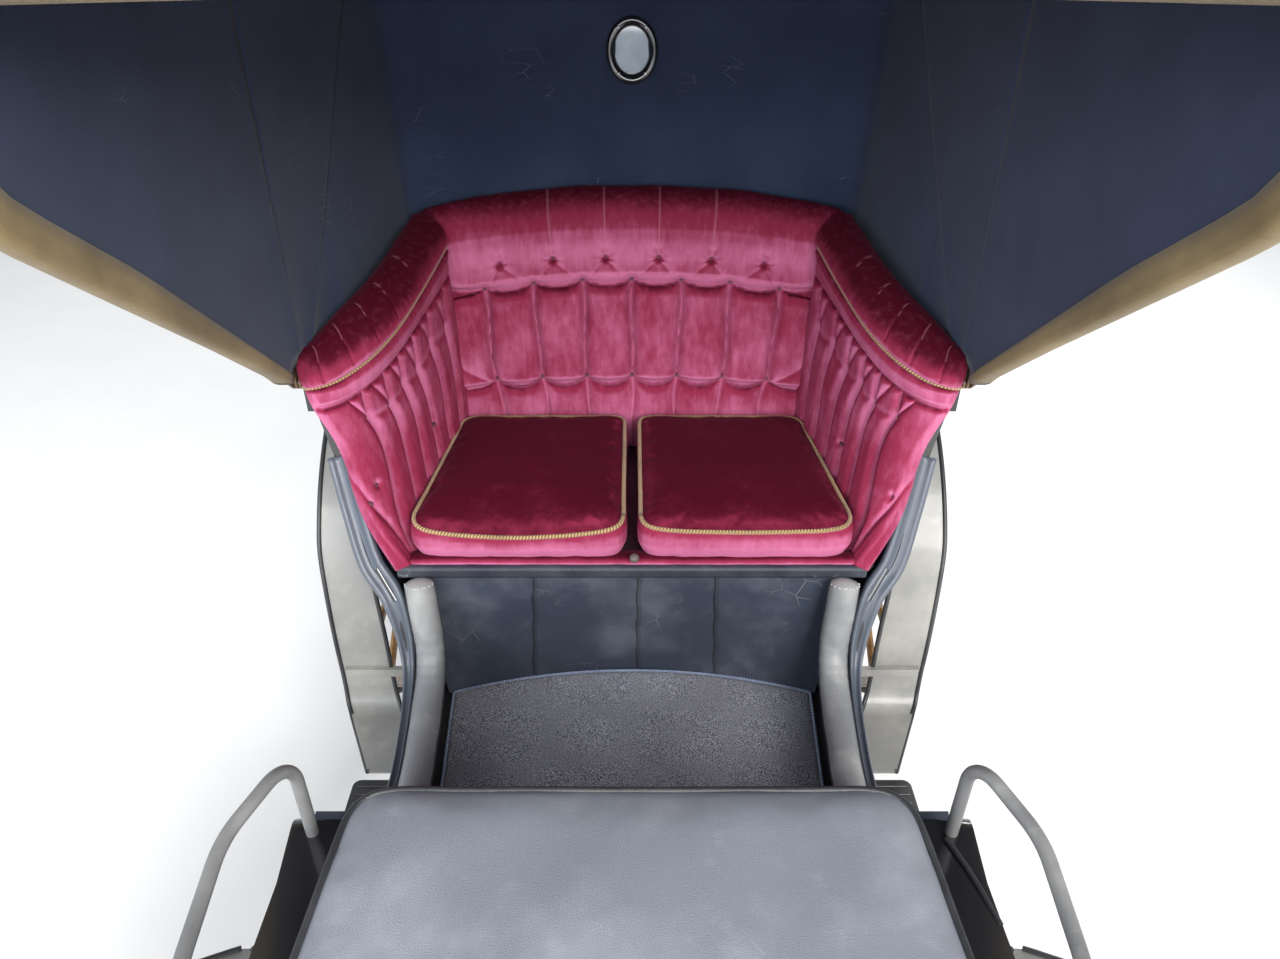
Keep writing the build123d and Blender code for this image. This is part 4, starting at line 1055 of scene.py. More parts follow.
# %% Arms
ARM_ROWS = (
    # height on the cloth, then points from the front return to the back corner
    (0.00, ((0.518, 0.000, 0.812), (0.508, -0.004, 0.806), (0.500, 0.040, 0.803), (0.487, 0.170, 0.803),
            (0.463, 0.360, 0.803), (0.440, 0.560, 0.803))),
    (0.13, ((0.588, 0.052, 0.920), (0.570, 0.040, 0.922), (0.534, 0.080, 0.928), (0.507, 0.190, 0.930),
            (0.477, 0.370, 0.935), (0.450, 0.565, 0.940))),
    (0.27, ((0.624, 0.092, 1.058), (0.602, 0.076, 1.060), (0.566, 0.106, 1.062), (0.532, 0.200, 1.072),
            (0.494, 0.360, 1.088), (0.458, 0.572, 1.108))),
    (0.39, ((0.664, 0.100, 1.160), (0.643, 0.084, 1.160), (0.600, 0.106, 1.168), (0.548, 0.180, 1.192),
            (0.505, 0.330, 1.230), (0.464, 0.576, 1.272))),
    (0.44, ((0.672, 0.098, 1.204), (0.656, 0.090, 1.204), (0.603, 0.106, 1.216), (0.546, 0.166, 1.244),
            (0.500, 0.300, 1.286), (0.462, 0.560, 1.338))),
    (0.47, ((0.674, 0.094, 1.222), (0.661, 0.088, 1.226), (0.611, 0.112, 1.248), (0.560, 0.182, 1.282),
            (0.512, 0.322, 1.324), (0.474, 0.580, 1.372))),
    (0.51, ((0.676, 0.096, 1.234), (0.665, 0.094, 1.244), (0.632, 0.140, 1.268), (0.590, 0.220, 1.302),
            (0.542, 0.350, 1.340), (0.506, 0.600, 1.388))),
    (0.55, ((0.677, 0.104, 1.226), (0.671, 0.108, 1.232), (0.655, 0.160, 1.246), (0.622, 0.240, 1.272),
            (0.580, 0.380, 1.310), (0.540, 0.630, 1.358))),
    (0.60, ((0.678, 0.112, 1.214), (0.674, 0.124, 1.216), (0.664, 0.180, 1.224), (0.642, 0.270, 1.246),
            (0.606, 0.420, 1.286), (0.572, 0.680, 1.334))),
)
ARM_SPANS = (-0.035, 0.0, 0.085, 0.200, 0.390, 0.600)
ARM_PLEATS = (0.110, 0.185, 0.262, 0.345, 0.435, 0.525)
ARM_BUTTON_ROW, ARM_BAND_ROW, BRAID_ROW = 0.325, 0.392, 0.440
ARM_LOW_BUTTONS = {
    "left": ((0.028, 0.165), (0.262, 0.170)),
    "right": ((0.020, 0.150), (0.050, 0.185), (0.345, 0.175)),
}
ARM_STUFFING = 0.026
ROLL_WRINKLES = (0.05, 0.13, 0.22, 0.32, 0.43)
BRAID_RADIUS, BRAID_OUT = 0.0042, 0.0022


def arm_creases(low_buttons):
    creases, buttons, seams = [], [], []
    for index, pleat in enumerate(ARM_PLEATS):
        button = (pleat, ARM_BUTTON_ROW + 0.006 * (-1) ** index)
        creases += wavy(button, (pleat - 0.020, 0.0), 0.011, 0.026, 1.0)
        creases += hanging(button, (pleat + 0.022, ARM_BAND_ROW), 0.0, 0.020, 0.60, 2)
        creases += hanging(button, (pleat - 0.026, ARM_BAND_ROW), 0.0, 0.018, 0.35, 2)
        buttons.append(button)
    for left, right in zip(buttons, buttons[1:]):
        creases += hanging(left, right, 0.006, 0.018, 0.18)
    creases.append(((0.0, ARM_BAND_ROW), (0.60, ARM_BAND_ROW + 0.002), 0.014, 0.85))
    creases.append(((-0.04, BRAID_ROW), (0.61, BRAID_ROW), 0.012, 0.8))
    creases.append(((0.60, 0.0), (0.60, 0.42), 0.030, 1.0))
    for wrinkle in ROLL_WRINKLES:
        creases.append(((wrinkle, 0.452), (wrinkle + 0.010, 0.535), 0.010, 0.18))
        creases.append(((wrinkle + 0.014, 0.500), (wrinkle + 0.034, 0.530), 0.008, 0.12))
        seams.append(((wrinkle + 0.003, 0.480), (wrinkle + 0.009, 0.505)))
    creases += chain(((-0.030, 0.250), (0.005, 0.185), (0.045, 0.095), (0.066, 0.020)), 0.020, 0.55)
    creases += [((u, v), (u + 0.003, v), 0.016, 0.8) for u, v in low_buttons]
    return creases, buttons[:-1] + list(low_buttons), seams


def nearest(values, target):
    """Which of a row of values lies nearest to a target."""
    return int(np.argmin(np.abs(values - target)))


def arm(side, turn):
    """One arm, worked out for the left side and mirrored where turn is -1."""
    rows, columns = 180, 230
    grid = smooth_sheet([points for _, points in ARM_ROWS], rows, columns)
    cloth = smooth_values([height for height, _ in ARM_ROWS], rows)
    spans = smooth_values(ARM_SPANS, columns)
    flat = np.stack(np.meshgrid(spans, cloth), axis=-1)
    creases, buttons, seams = arm_creases(ARM_LOW_BUTTONS[side])
    normal = outward(grid, (-1, -0.2, 0.4))
    fold = pillow(flat, creases)
    lift = ARM_STUFFING * fold + puckers(flat, buttons) + unevenness(flat, 0.003, 5) * np.minimum(fold * 2, 1)
    edge = step_up(flat[..., 0], -0.036, 0.02) * step_up(flat[..., 1], 0.55, 0.515)
    stuffed = grid + normal * (lift * edge)[..., None]
    if turn < 0:
        stuffed, normal = flip(stuffed), flip(normal)
    piece = squab("arm_squab_velvet_" + side, "arm_squab_" + side, stuffed, (-turn, -0.2, 0.4), fold,
                  seam_lines(flat, seams, 0.0012))
    # the top of the roll above the braid, marked for painted shade
    stamp(piece, "top", step_up(flat[..., 1], BRAID_ROW - 0.004, BRAID_ROW + 0.030))
    sew_buttons("arm_buttons_" + side, flat, buttons, stuffed, normal)
    row, low_row = nearest(cloth, BRAID_ROW), nearest(cloth, 0.01)
    first, column = nearest(spans, -0.02), nearest(spans, -0.026)
    gimp = stuffed[row, first:] + normal[row, first:] * BRAID_OUT
    cord("arm_braid_" + side, [even(gimp, 0.004)], BRAID_RADIUS, GOLD_BRAID, BODY)
    front_edge = stuffed[low_row:row, column] + normal[low_row:row, column] * 0.001
    nails("arm_nails_" + side, [even(front_edge, 0.004)], 0.0024, 0.013, DULL_STUD, BODY)


for side, turn in SIDES:
    arm(side, turn)
print("two arms of", len(ARM_PLEATS), "pleats")

# %% [markdown]
# ## Stuffed cushions by cloth simulation
# A cushion is a closed cover pressed out from inside. The recipe: build the cover a little small, remesh it
# evenly, let Cloth blow it up for twenty frames with no gravity, cap how far any point moved, and keep the
# result. The piping comes after, laid on the finished cover.

# %% Cushion helpers
def rounded_outline(corners, radii, step=0.012):
    """A closed plan outline with rounded corners."""
    corners = np.array(corners, dtype=float)
    line = []
    for index, radius in enumerate(radii):
        corner = corners[index]
        before = corners[index - 1] - corner
        after = corners[(index + 1) % len(corners)] - corner
        before /= np.linalg.norm(before)
        after /= np.linalg.norm(after)
        cut = radius / tan(np.arccos(np.clip(before @ after, -1, 1)) / 2)
        start, end = corner + before * cut, corner + after * cut
        share = np.linspace(0, 1, 9)[:, None]
        line.append((1 - share) ** 2 * start + 2 * share * (1 - share) * corner + share**2 * end)
    line = np.vstack(line + [line[0][:1]])
    return even(line, step)[:-1]


def cover(outline, rings):
    """A closed cover from rings of (inset, z) round one outline, bottom first."""
    centre = outline.mean(axis=0)
    reach = np.linalg.norm(outline - centre, axis=1).mean()
    points = [(*centre, rings[0][1])]
    for inset, z in rings:
        ring = centre + (outline - centre) * (1 - inset / reach)
        points += [(x, y, z) for x, y in ring]
    points.append((*centre, rings[-1][1] + 0.002))
    count, last = len(outline), len(points) - 1
    faces = []
    for ring in range(len(rings) - 1):
        for i in range(count):
            a, b = 1 + ring * count + i, 1 + ring * count + (i + 1) % count
            faces.append((a, b, b + count, a + count))
    for i in range(count):
        j = (i + 1) % count
        top = 1 + (len(rings) - 1) * count
        faces.append((0, 1 + j, 1 + i))
        faces.append((last, top + i, top + j))
    return points, faces


def bake_modifiers(obj):
    """Replaces an object's mesh by what its modifiers make of it."""
    graph = bpy.context.evaluated_depsgraph_get()
    mesh = bpy.data.meshes.new_from_object(obj.evaluated_get(graph), depsgraph=graph)
    obj.modifiers.clear()
    obj.data = mesh
    mesh.shade_smooth()


def read_points(obj):
    points = np.empty(len(obj.data.vertices) * 3)
    obj.data.vertices.foreach_get("co", points)
    return points.reshape(-1, 3)


def write_points(obj, points):
    obj.data.vertices.foreach_set("co", points.ravel())
    obj.data.update()


COVER_PRESSURE, COVER_STIFFNESS, FILL_FRAMES = 4.0, 30, 20


def stuff(obj, voxel, cap):
    """Remeshes a cover, lets Cloth fill it and caps how far each point may move."""
    remesh = obj.modifiers.new("Even", "REMESH")
    remesh.mode = "VOXEL"
    remesh.voxel_size = voxel
    bake_modifiers(obj)
    start = read_points(obj)
    cloth = obj.modifiers.new("Fill", "CLOTH")
    cloth.settings.use_pressure = True
    cloth.settings.uniform_pressure_force = COVER_PRESSURE
    cloth.settings.quality = 4
    cloth.settings.tension_stiffness = COVER_STIFFNESS
    cloth.settings.compression_stiffness = COVER_STIFFNESS
    cloth.settings.effector_weights.gravity = 0
    scene = bpy.context.scene
    for step in range(1, FILL_FRAMES + 1):
        scene.frame_set(step)
    bake_modifiers(obj)
    scene.frame_set(1)
    moved = read_points(obj) - start
    length = np.linalg.norm(moved, axis=1, keepdims=True)
    moved *= np.minimum(1, cap / np.maximum(length, 1e-9))
    write_points(obj, start + moved)
    finer = obj.modifiers.new("Smooth", "SUBSURF")
    finer.levels = 1
    finer.render_levels = 1
    bake_modifiers(obj)


def lay_on(obj, line, lift):
    """A line moved onto an object's surface and raised by lift."""
    tree = BVHTree.FromObject(obj, bpy.context.evaluated_depsgraph_get())
    laid = []
    for point in to_row(line):
        spot, normal, _, _ = tree.find_nearest(Vector(point))
        laid.append(spot + normal * lift)
    laid = np.array(laid)
    laid[:, 1] -= SEAT_FRONT
    return laid


def sewn(line, rounds=6):
    """A closed line with its small steps evened out."""
    for _ in range(rounds):
        line = (np.roll(line, 1, axis=0) + 2 * line + np.roll(line, -1, axis=0)) / 4
    return line


# %% Seat cushions
CUSHION_CORNERS = ((0.002, -0.004), (0.500, -0.004), (0.449, 0.528), (0.002, 0.528))
CUSHION_RADII = (0.045, 0.055, 0.050, 0.030)
CUSHION_LOW, CUSHION_EDGE = 0.809, 0.909
CUSHION_RINGS = (
    # how far inside the outline each ring lies, and its height
    (0.070, CUSHION_LOW), (0.032, CUSHION_LOW + 0.006), (0.013, CUSHION_LOW + 0.022), (0.002, 0.860),
    (0.003, CUSHION_EDGE - 0.018), (0.011, CUSHION_EDGE), (0.036, CUSHION_EDGE + 0.006),
    (0.090, CUSHION_EDGE + 0.010), (0.160, CUSHION_EDGE + 0.012),
)
CUSHION_DROOP = {"left": 0.008, "right": 0.022}
CUSHION_HALF, DROOP_HALF, FRONT_BULGE = 0.25, 0.24, 0.010
CUSHION_VOXEL, CUSHION_SWELL = 0.0063, 0.010
PIPING_RADIUS, PIPING_INSET, PIPING_OUT = 0.0050, 0.010, 0.0020


def sag_front(points, droop):
    """The middle of a cushion's front edge bulges forwards and hangs a little."""
    bow = np.clip(1 - ((np.abs(points[:, 0]) - CUSHION_HALF) / DROOP_HALF) ** 2, 0, 1)
    front = step_up(points[:, 1], 0.13, 0.0) * bow
    points[:, 2] -= droop * front * step_up(points[:, 2], 0.84, 0.90)
    points[:, 1] -= FRONT_BULGE * front
    return points


def seat_cushion(side, turn):
    """A stuffed cushion with gold piping laid round its upper edge."""
    outline = rounded_outline(CUSHION_CORNERS, CUSHION_RADII)
    points, faces = cover(outline, CUSHION_RINGS)
    points = sag_front(np.array(points), CUSHION_DROOP[side])
    centre = outline.mean(axis=0)
    edge = centre + (outline - centre) * (1 - PIPING_INSET / CUSHION_HALF)
    edge = sag_front(np.column_stack([edge, np.full(len(edge), CUSHION_EDGE + 0.003)]), CUSHION_DROOP[side])
    if turn < 0:
        points, edge = flip(points), flip(edge)
    cushion = make_mesh("seat_cushion_velvet_" + side, points, faces, VELVET, closed=True)
    stuff(cushion, CUSHION_VOXEL, CUSHION_SWELL)
    hang(cushion, BODY, ("seat_cushion_" + side,))
    line = sewn(lay_on(cushion, edge, PIPING_OUT))
    cord("seat_cushion_piping_" + side, [line], PIPING_RADIUS, GOLD_BRAID, BODY, 10, True)
    return cushion


seat_cushions = [seat_cushion(side, turn) for side, turn in SIDES]
print("seat cushions", [len(c.data.vertices) for c in seat_cushions], "points each")

# %% [markdown]
# ## The front of the seat
# Under the cushions the seat's edge is covered in the same velvet over a thin roll, held by one small knob
# between the cushions. Below it comes the leather rail of the frame.

# %% Seat edge
EDGE_HALF = 0.505
EDGE_SECTION = ((0.060, 0.812), (0.036, 0.824), (0.018, 0.830), (0.004, 0.828), (-0.001, 0.820),
                (0.003, 0.811))
KNOB_PLACE, KNOB_RADIUS, KNOB_HEIGHT = (0.005, -0.006, 0.838), 0.011, 0.009
KNOB = leather("knob_leather", (0.085, 0.065, 0.055), (0.16, 0.13, 0.115), 0.5, 900.0)


def seat_edge():
    """The velvet over the seat's front edge, a little uneven, and its knob."""
    across = np.linspace(-EDGE_HALF, EDGE_HALF, 90)
    section = smooth_line(EDGE_SECTION, 16)
    wobble = 0.0012 * np.sin(across * 41) + 0.001 * np.sin(across * 97 + 1)
    grid = np.array([[(x, y - w, z + w) for x, w in zip(across, wobble)] for y, z in section])
    towards = (0, -0.6, 0.8)
    edge = grid_mesh("seat_edge_velvet", grid, VELVET, towards)
    hang(edge, BODY)
    heads("seat_knob", [KNOB_PLACE], [towards], KNOB_RADIUS, KNOB_HEIGHT, KNOB, BODY, 16)


seat_edge()
print("seat edge", round(2 * EDGE_HALF, 2), "m wide")

# %% [markdown]
# ## Driver's cushion
# Smooth dark leather over horsehair, its colour a light blue-grey of painted sunlight: a thinner pad with
# rounded corners, a raised welt round its top and long soft wrinkles where the driver slides on and off.

# %% Driver's cushion
pad_low, pad_high = (np.array(corner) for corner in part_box("driver_cushion"))
DRIVER_HALF_BACK, DRIVER_HALF_FRONT = pad_high[0] - 0.020, pad_high[0]
DRIVER_BACK, DRIVER_FRONT = pad_high[1] - SEAT_FRONT + 0.012, pad_low[1] - SEAT_FRONT + 0.006
DRIVER_LOW, DRIVER_TOP = pad_low[2] + 0.004, pad_high[2] - 0.002
DRIVER_CORNERS = ((-DRIVER_HALF_FRONT, DRIVER_FRONT), (DRIVER_HALF_FRONT, DRIVER_FRONT),
                  (DRIVER_HALF_BACK, DRIVER_BACK), (-DRIVER_HALF_BACK, DRIVER_BACK))
DRIVER_RADII = (0.06, 0.06, 0.05, 0.05)
DRIVER_RINGS = (
    # how far inside the outline each ring lies, and its height
    (0.060, DRIVER_LOW), (0.016, DRIVER_LOW + 0.002), (0.004, DRIVER_LOW + 0.014), (0.000, 1.096),
    (0.004, DRIVER_TOP - 0.010), (0.012, DRIVER_TOP), (0.040, DRIVER_TOP + 0.003),
    (0.110, DRIVER_TOP + 0.005), (0.180, DRIVER_TOP + 0.006),
)
DRIVER_REACH = 0.30
DRIVER_VOXEL, DRIVER_SWELL = 0.0085, 0.008
DRIVER_WELTS = (
    # name, height, how far inside the outline, radius
    ("top", DRIVER_TOP + 0.002, 0.012, 0.0046),
    ("low", DRIVER_LOW + 0.016, 0, 0.0034),
)


def driver_cushion():
    """A stuffed leather pad with soft folds on its top and two welts round it."""
    outline = rounded_outline(DRIVER_CORNERS, DRIVER_RADII)
    points, faces = cover(outline, DRIVER_RINGS)
    cushion = make_mesh("driver_cushion_leather", points, faces, DRIVER_LEATHER, closed=True)
    stuff(cushion, DRIVER_VOXEL, DRIVER_SWELL)
    points = read_points(cushion)
    top = np.clip((points[:, 2] - DRIVER_TOP + 0.006) / 0.008, 0, 1)
    x, y = points[:, 0], points[:, 1]
    folds = np.sin(x * 21 + 3 * np.sin(y * 9)) + 0.6 * np.sin(x * 47 + y * 13 + 2)
    points[:, 2] += top * 0.0014 * folds
    write_points(cushion, points)
    hang(cushion, BODY, ("driver_cushion",))
    centre = outline.mean(axis=0)
    for label, z, inset, radius in DRIVER_WELTS:
        edge = centre + (outline - centre) * (1 - inset / DRIVER_REACH)
        line = sewn(lay_on(cushion, [(px, py, z) for px, py in edge], 0.0018))
        cord("driver_cushion_welt_" + label, [line], radius, WELT, BODY, 8, True)


driver_cushion()
print("driver's cushion", round(2 * DRIVER_HALF_FRONT, 3), "m wide")

# %% [markdown]
# ## Carpet, heelboard seams and sill rolls
# The footwell is trimmed in leather. Its carpet has a bound edge, the heelboard is sewn from four widths, and
# a stuffed roll is nailed along the inner edge of each side from the seat down to the step.

# %% Carpet
CARPET_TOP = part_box("floor_carpet")[1][2]
HEEL_SAG = 0.082
CARPET_FRONT = -0.448
CARPET_HALVES = ((-0.448, 0.403), (-0.262, 0.412), (0.000, 0.430), (0.080, 0.434))
CARPET_THICK = 0.007


def carpet():
    """The floor's carpet: nearly straight sides, a curved back edge and a soft rounded rim."""
    rows, columns = 62, 104
    across = np.linspace(-1, 1, columns)
    grid = []
    for share in np.linspace(0, 1, rows):
        back = -0.010 + HEEL_SAG * (1 - (across * 0.95) ** 2)
        y = CARPET_FRONT + (back - CARPET_FRONT) * share
        half = np.interp(y, *zip(*CARPET_HALVES))
        edge = np.minimum(np.minimum(1 - np.abs(across), min(share, 1 - share) * 1.2) * 40, 1)
        z = CARPET_TOP - 0.004 + 0.006 * np.sqrt(edge)
        grid.append(np.stack([half * across, y, z * np.ones(columns)], axis=1))
    grid = np.array(grid)
    grid[..., 2] += 0.0012 * np.sin(grid[..., 0] * 15) * np.sin(grid[..., 1] * 19 + 1)
    piece = grid_mesh("floor_carpet_pile", grid, CARPET, (0, 0, 1))
    thicken(piece, CARPET_THICK, -1)
    hang(piece, BODY, ("floor_carpet",))
    rim = np.vstack([grid[:, 0], grid[-1, 1:], grid[::-1, -1][1:], grid[0, ::-1][1:-1]])
    rim[:, 2] = CARPET_TOP - 0.001
    rim = even(np.vstack([rim, rim[:1]]), 0.008)[:-1]
    cord("carpet_binding", [rim], 0.0036, BINDING, BODY, 8, True)


carpet()
print("carpet top at", round(CARPET_TOP, 3))

# %% Heelboard seams
HEEL_LOW, HEEL_HIGH = CARPET_TOP, 0.784
HEEL_SEAMS = ((-0.2415, -0.218), (0.012, 0.012), (0.2025, 0.183))


def heel_point(x, z, out):
    """A point on the face of the curved heelboard."""
    share = (z - HEEL_LOW) / (HEEL_HIGH - HEEL_LOW)
    half = 0.440 + 0.038 * share
    sag = HEEL_SAG + (0.004 - HEEL_SAG) * share
    return x, sag * (1 - (x / half) ** 2) - 0.005 - out, z


def heel_line(low, high, aside=0.0, out=0.0005):
    heights = np.linspace(HEEL_LOW + 0.004, HEEL_HIGH, 24)
    share = (heights - HEEL_LOW) / (HEEL_HIGH - HEEL_LOW)
    places = low + (high - low) * share + aside + 0.0015 * np.sin(heights * 60)
    return [heel_point(x, z, out) for x, z in zip(places, heights)]


cord("heelboard_seams", [heel_line(*ends) for ends in HEEL_SEAMS], 0.0020, WELT, BODY, 8)
beside = [heel_line(*ends, 0.007, 0.0011) for ends in HEEL_SEAMS]
stitches("heelboard_stitches", beside, WELT, BODY)
print("heelboard seams at", HEEL_SEAMS)

# %% Sill rolls
SILL_PATH = (
    # x, y, z of the roll's middle, then half its width
    (0.462, -0.032, 0.800, 0.031), (0.459, -0.043, 0.747, 0.032), (0.452, -0.060, 0.686, 0.032),
    (0.446, -0.088, 0.626, 0.030), (0.444, -0.138, 0.587, 0.031), (0.442, -0.205, 0.566, 0.032),
    (0.437, -0.280, 0.561, 0.031), (0.430, -0.370, 0.567, 0.031), (0.424, -0.440, 0.588, 0.030),
    (0.420, -0.500, 0.622, 0.028),
)
# where round the roll its inner and its outer welt run, as shares of a turn
ROLL_WELTS = (0.56, 0.03)


def sill_roll(side, turn):
    """A stuffed roll with puckered ends, wrinkled where it bends."""
    rings, sides = 150, 28
    path = smooth_line([row[:3] for row in SILL_PATH], rings)
    width = smooth_values([row[3] for row in SILL_PATH], rings)
    share = np.linspace(0, 1, rings)
    width *= np.sqrt(np.clip(np.minimum(share, 1 - share) / 0.018, 0.10, 1))
    wrinkle = 1 + 0.012 * np.sin(share * 150) * np.exp(-((share - 0.35) / 0.16) ** 2)
    points = []
    for centre, forward, half, crumple in zip(path, directions(path), width * wrinkle, share):
        out = np.array((1.0, 0.0, 0.0)) - forward * forward[0]
        out /= np.linalg.norm(out)
        up = np.cross(forward, out)
        for angle in np.linspace(0, 2 * pi, sides, endpoint=False):
            fold = 1 + 0.010 * sin(3 * angle + 40 * crumple)
            points.append(centre + out * half * cos(angle) * fold + up * half * 0.86 * sin(angle) * fold)
    points = flip(points) if turn < 0 else np.array(points)
    faces = grid_faces(rings, sides, round_columns=True) + end_caps(rings, sides)
    roll = make_mesh("sill_roll_" + side, points, faces, ROLL_LEATHER, closed=True)
    hang(roll, BODY)
    tube = points.reshape(rings, sides, 3)
    welts = [even(tube[4:-4, int(sides * share_round)], 0.006) for share_round in ROLL_WELTS]
    cord("sill_welt_" + side, welts, 0.0028, WELT, BODY, 8)
    top_end = even(tube[3, :sides // 2], 0.003)
    nails("sill_nails_" + side, [top_end], 0.0022, 0.010, NICKEL, BODY)
    return roll


rolls = [sill_roll(side, turn) for side, turn in SIDES]
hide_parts("sill_rolls")
print("sill rolls", len(rolls[0].data.vertices), "points each")

# %% [markdown]
# ## Mouldings of the body
# A coachmaker runs a moulding along the front edge of the tub and on along the top of the low side: two
# rounded beads with a hollow between, all in the same lacquer, which is painted pale grey-blue: painted sky
# reflection and dust. The section is worked out across the band and swept along a table of edge points, so
# the band can narrow on its way down.

# %% Front mouldings
MOULDING = (
    # outer edge x, y, z, then how far in the inner edge lies
    (0.654, 0.092, 1.030, 0.049), (0.628, 0.046, 0.912, 0.051), (0.598, 0.000, 0.806, 0.054),
    (0.552, -0.034, 0.739, 0.052), (0.524, -0.066, 0.666, 0.040), (0.508, -0.106, 0.606, 0.028),
    (0.499, -0.174, 0.571, 0.022), (0.491, -0.270, 0.557, 0.020), (0.483, -0.370, 0.562, 0.020),
    (0.473, -0.480, 0.596, 0.018),
)
MOULDING_SECTION = (
    # share of the band's width, height above the edge
    (0.0, -0.018), (0.0, 0.001), (0.06, 0.007), (0.16, 0.010), (0.27, 0.007), (0.34, 0.0015), (0.50, -0.0005),
    (0.66, 0.0015), (0.73, 0.005), (0.84, 0.008), (0.94, 0.005), (1.0, 0.0), (1.0, -0.018),
)


def moulding(side, turn):
    """Two beads and a hollow, swept along the body's edge."""
    path = smooth_line(MOULDING, 120)
    rows = []
    for (x, y, z, width), forward in zip(path, directions(path[:, :3])):
        inwards = np.array((-1.0, 0.0, 0.0)) + forward * forward[0]
        inwards /= np.linalg.norm(inwards)
        face = np.cross(inwards, forward)
        face *= np.sign(face @ np.array((0.0, -0.7, 0.7)))
        rows.append([np.array((x, y, z)) + inwards * width * t + face * h for t, h in MOULDING_SECTION])
    grid = flip(rows) if turn < 0 else np.array(rows)
    rings, sides, _ = grid.shape
    faces = grid_faces(rings, sides, round_columns=True) + end_caps(rings, sides)
    ridge = make_mesh("front_moulding_" + side, grid.reshape(-1, 3), faces, PALE_RIDGE, closed=True)
    hang(ridge, BODY)


for side, turn in SIDES:
    moulding(side, turn)
print("front mouldings of", len(MOULDING_SECTION), "points in section")

# %% [markdown]
# ## The hood
# Three bows turn on one pivot at each side. The leather is stretched over them outside and the navy lining
# hides them inside, so both are lofts between the same arches: a little outside the bows, and a little
# inside.

# %% Hood arches
PIVOT = Vector(next(j for j in frame["joints"] if j["name"] == "hood_fold")["pos_m"])
PIVOT_Y, PIVOT_Z = PIVOT.y - SEAT_FRONT, PIVOT.z
ARCHES = {
    # name: angle, then x at the base, at the knee and at the top, then reach of the knee and of the top,
    # then how far the top rises to its middle, and the radius of its corners
    "front": (43.0, 0.703, 0.703, 0.731, 0.330, 1.181, 0.026, 0.130),
    "mid": (87.0, 0.703, 0.703, 0.661, 0.330, 1.041, 0.026, 0.130),
    "rear": (123.0, 0.703, 0.703, 0.601, 0.330, 1.135, 0.026, 0.130),
    "rim": (163.2, 0.703, 0.640, 0.566, 0.190, 0.690, 0.060, 0.080),
}
# where the legs of the bows stand at the pivot and at their shoulders, which the lining keeps inside
LEGS = {"front": (0.699, 0.730), "mid": (0.691, 0.660), "rear": (0.684, 0.600)}
# how far the lining lies inside an arch, and inside the middle of a leg
LINING_IN, LEG_ROOM = 0.027, 0.0255
# an arch that has shrunk by more than this belongs to the lining or to the front band
INSIDE = -0.01
ARCH_BASE = 0.060
KNEE_RADIUS, CROWN_RADIUS, SHARPEST = 0.040, 2.4, 0.02
APRON_ANGLE = 5.5
BODY_RIM = ((0.090, 1.216), (0.180, 1.262), (0.360, 1.312), (0.620, 1.366), (0.900, 1.392))


def rounded(points, radii, straight=12, bend=10):
    """A line with rounded corners and always the same number of points."""
    p = [np.array(q, float) for q in points]
    start, line = p[0], []
    for before, corner, after, radius in zip(p, p[1:], p[2:], radii):
        back, on = before - corner, after - corner
        back /= np.linalg.norm(back)
        on /= np.linalg.norm(on)
        half = np.arccos(np.clip(back @ on, -1, 1)) / 2
        cut = radius / tan(half)
        first, last = corner + back * cut, corner + on * cut
        centre = corner + (back + on) / np.linalg.norm(back + on) * radius / sin(half)
        line += [start + (first - start) * s for s in np.linspace(0, 1, straight, endpoint=False)]
        a, b = first - centre, last - centre
        swing = np.arccos(np.clip(a @ b / radius**2, -1, 1))
        for s in np.linspace(0, 1, bend, endpoint=False):
            line.append(centre + (a * sin((1 - s) * swing) + b * sin(s * swing)) / sin(swing))
        start = last
    line += [start + (p[-1] - start) * s for s in np.linspace(0, 1, straight)]
    return np.array(line)


def arch(name, grown):
    """One arch of the hood as (x, reach) points, grown outwards or inwards."""
    _, base, knee, top, knee_reach, reach, crown, corner = ARCHES[name]
    base, knee, corner = base + grown, knee + grown, max(corner + grown, SHARPEST)
    if grown < INSIDE and name in LEGS:
        foot, shoulder = LEGS[name]
        room = LEG_ROOM - (grown + LINING_IN)
        base = foot - room
        knee = foot + (shoulder - foot) * knee_reach / (reach - crown) - room
    half = [(base, ARCH_BASE), (knee, knee_reach), (top + grown, reach + grown - crown)]
    points = half + [(0.0, reach + grown)] + [(-x, r) for x, r in half[::-1]]
    return rounded(points, (KNEE_RADIUS, corner, CROWN_RADIUS, corner, KNEE_RADIUS))


def in_space(flat, angle, aside=0.0):
    """(x, reach) points in the plane of a bow at one angle, moved aside from that plane."""
    a = radians(angle)
    y = PIVOT_Y - flat[:, 1] * cos(a) + aside * sin(a)
    return np.stack([flat[:, 0], y, PIVOT_Z + flat[:, 1] * sin(a) + aside * cos(a)], axis=1)


def loft(first, last, grown, rows, slack=0.0, grown_last=None, angles=None):
    """A sheet of points between two arches, drawn in by slack half way."""
    grown_last = grown if grown_last is None else grown_last
    angle_a, angle_b = angles or (ARCHES[first][0], ARCHES[last][0])
    a, b = in_space(arch(first, grown), angle_a), in_space(arch(last, grown_last), angle_b)
    grid = []
    for share in np.linspace(0, 1, rows):
        line = a + (b - a) * share
        inwards = line - np.array((0.0, PIVOT_Y, PIVOT_Z))
        reach = np.linalg.norm(inwards, axis=1, keepdims=True)
        line = line - inwards / reach * (slack * 4 * share * (1 - share) * np.clip(reach / 0.5, 0, 1))
        grid.append(line)
    return np.array(grid)


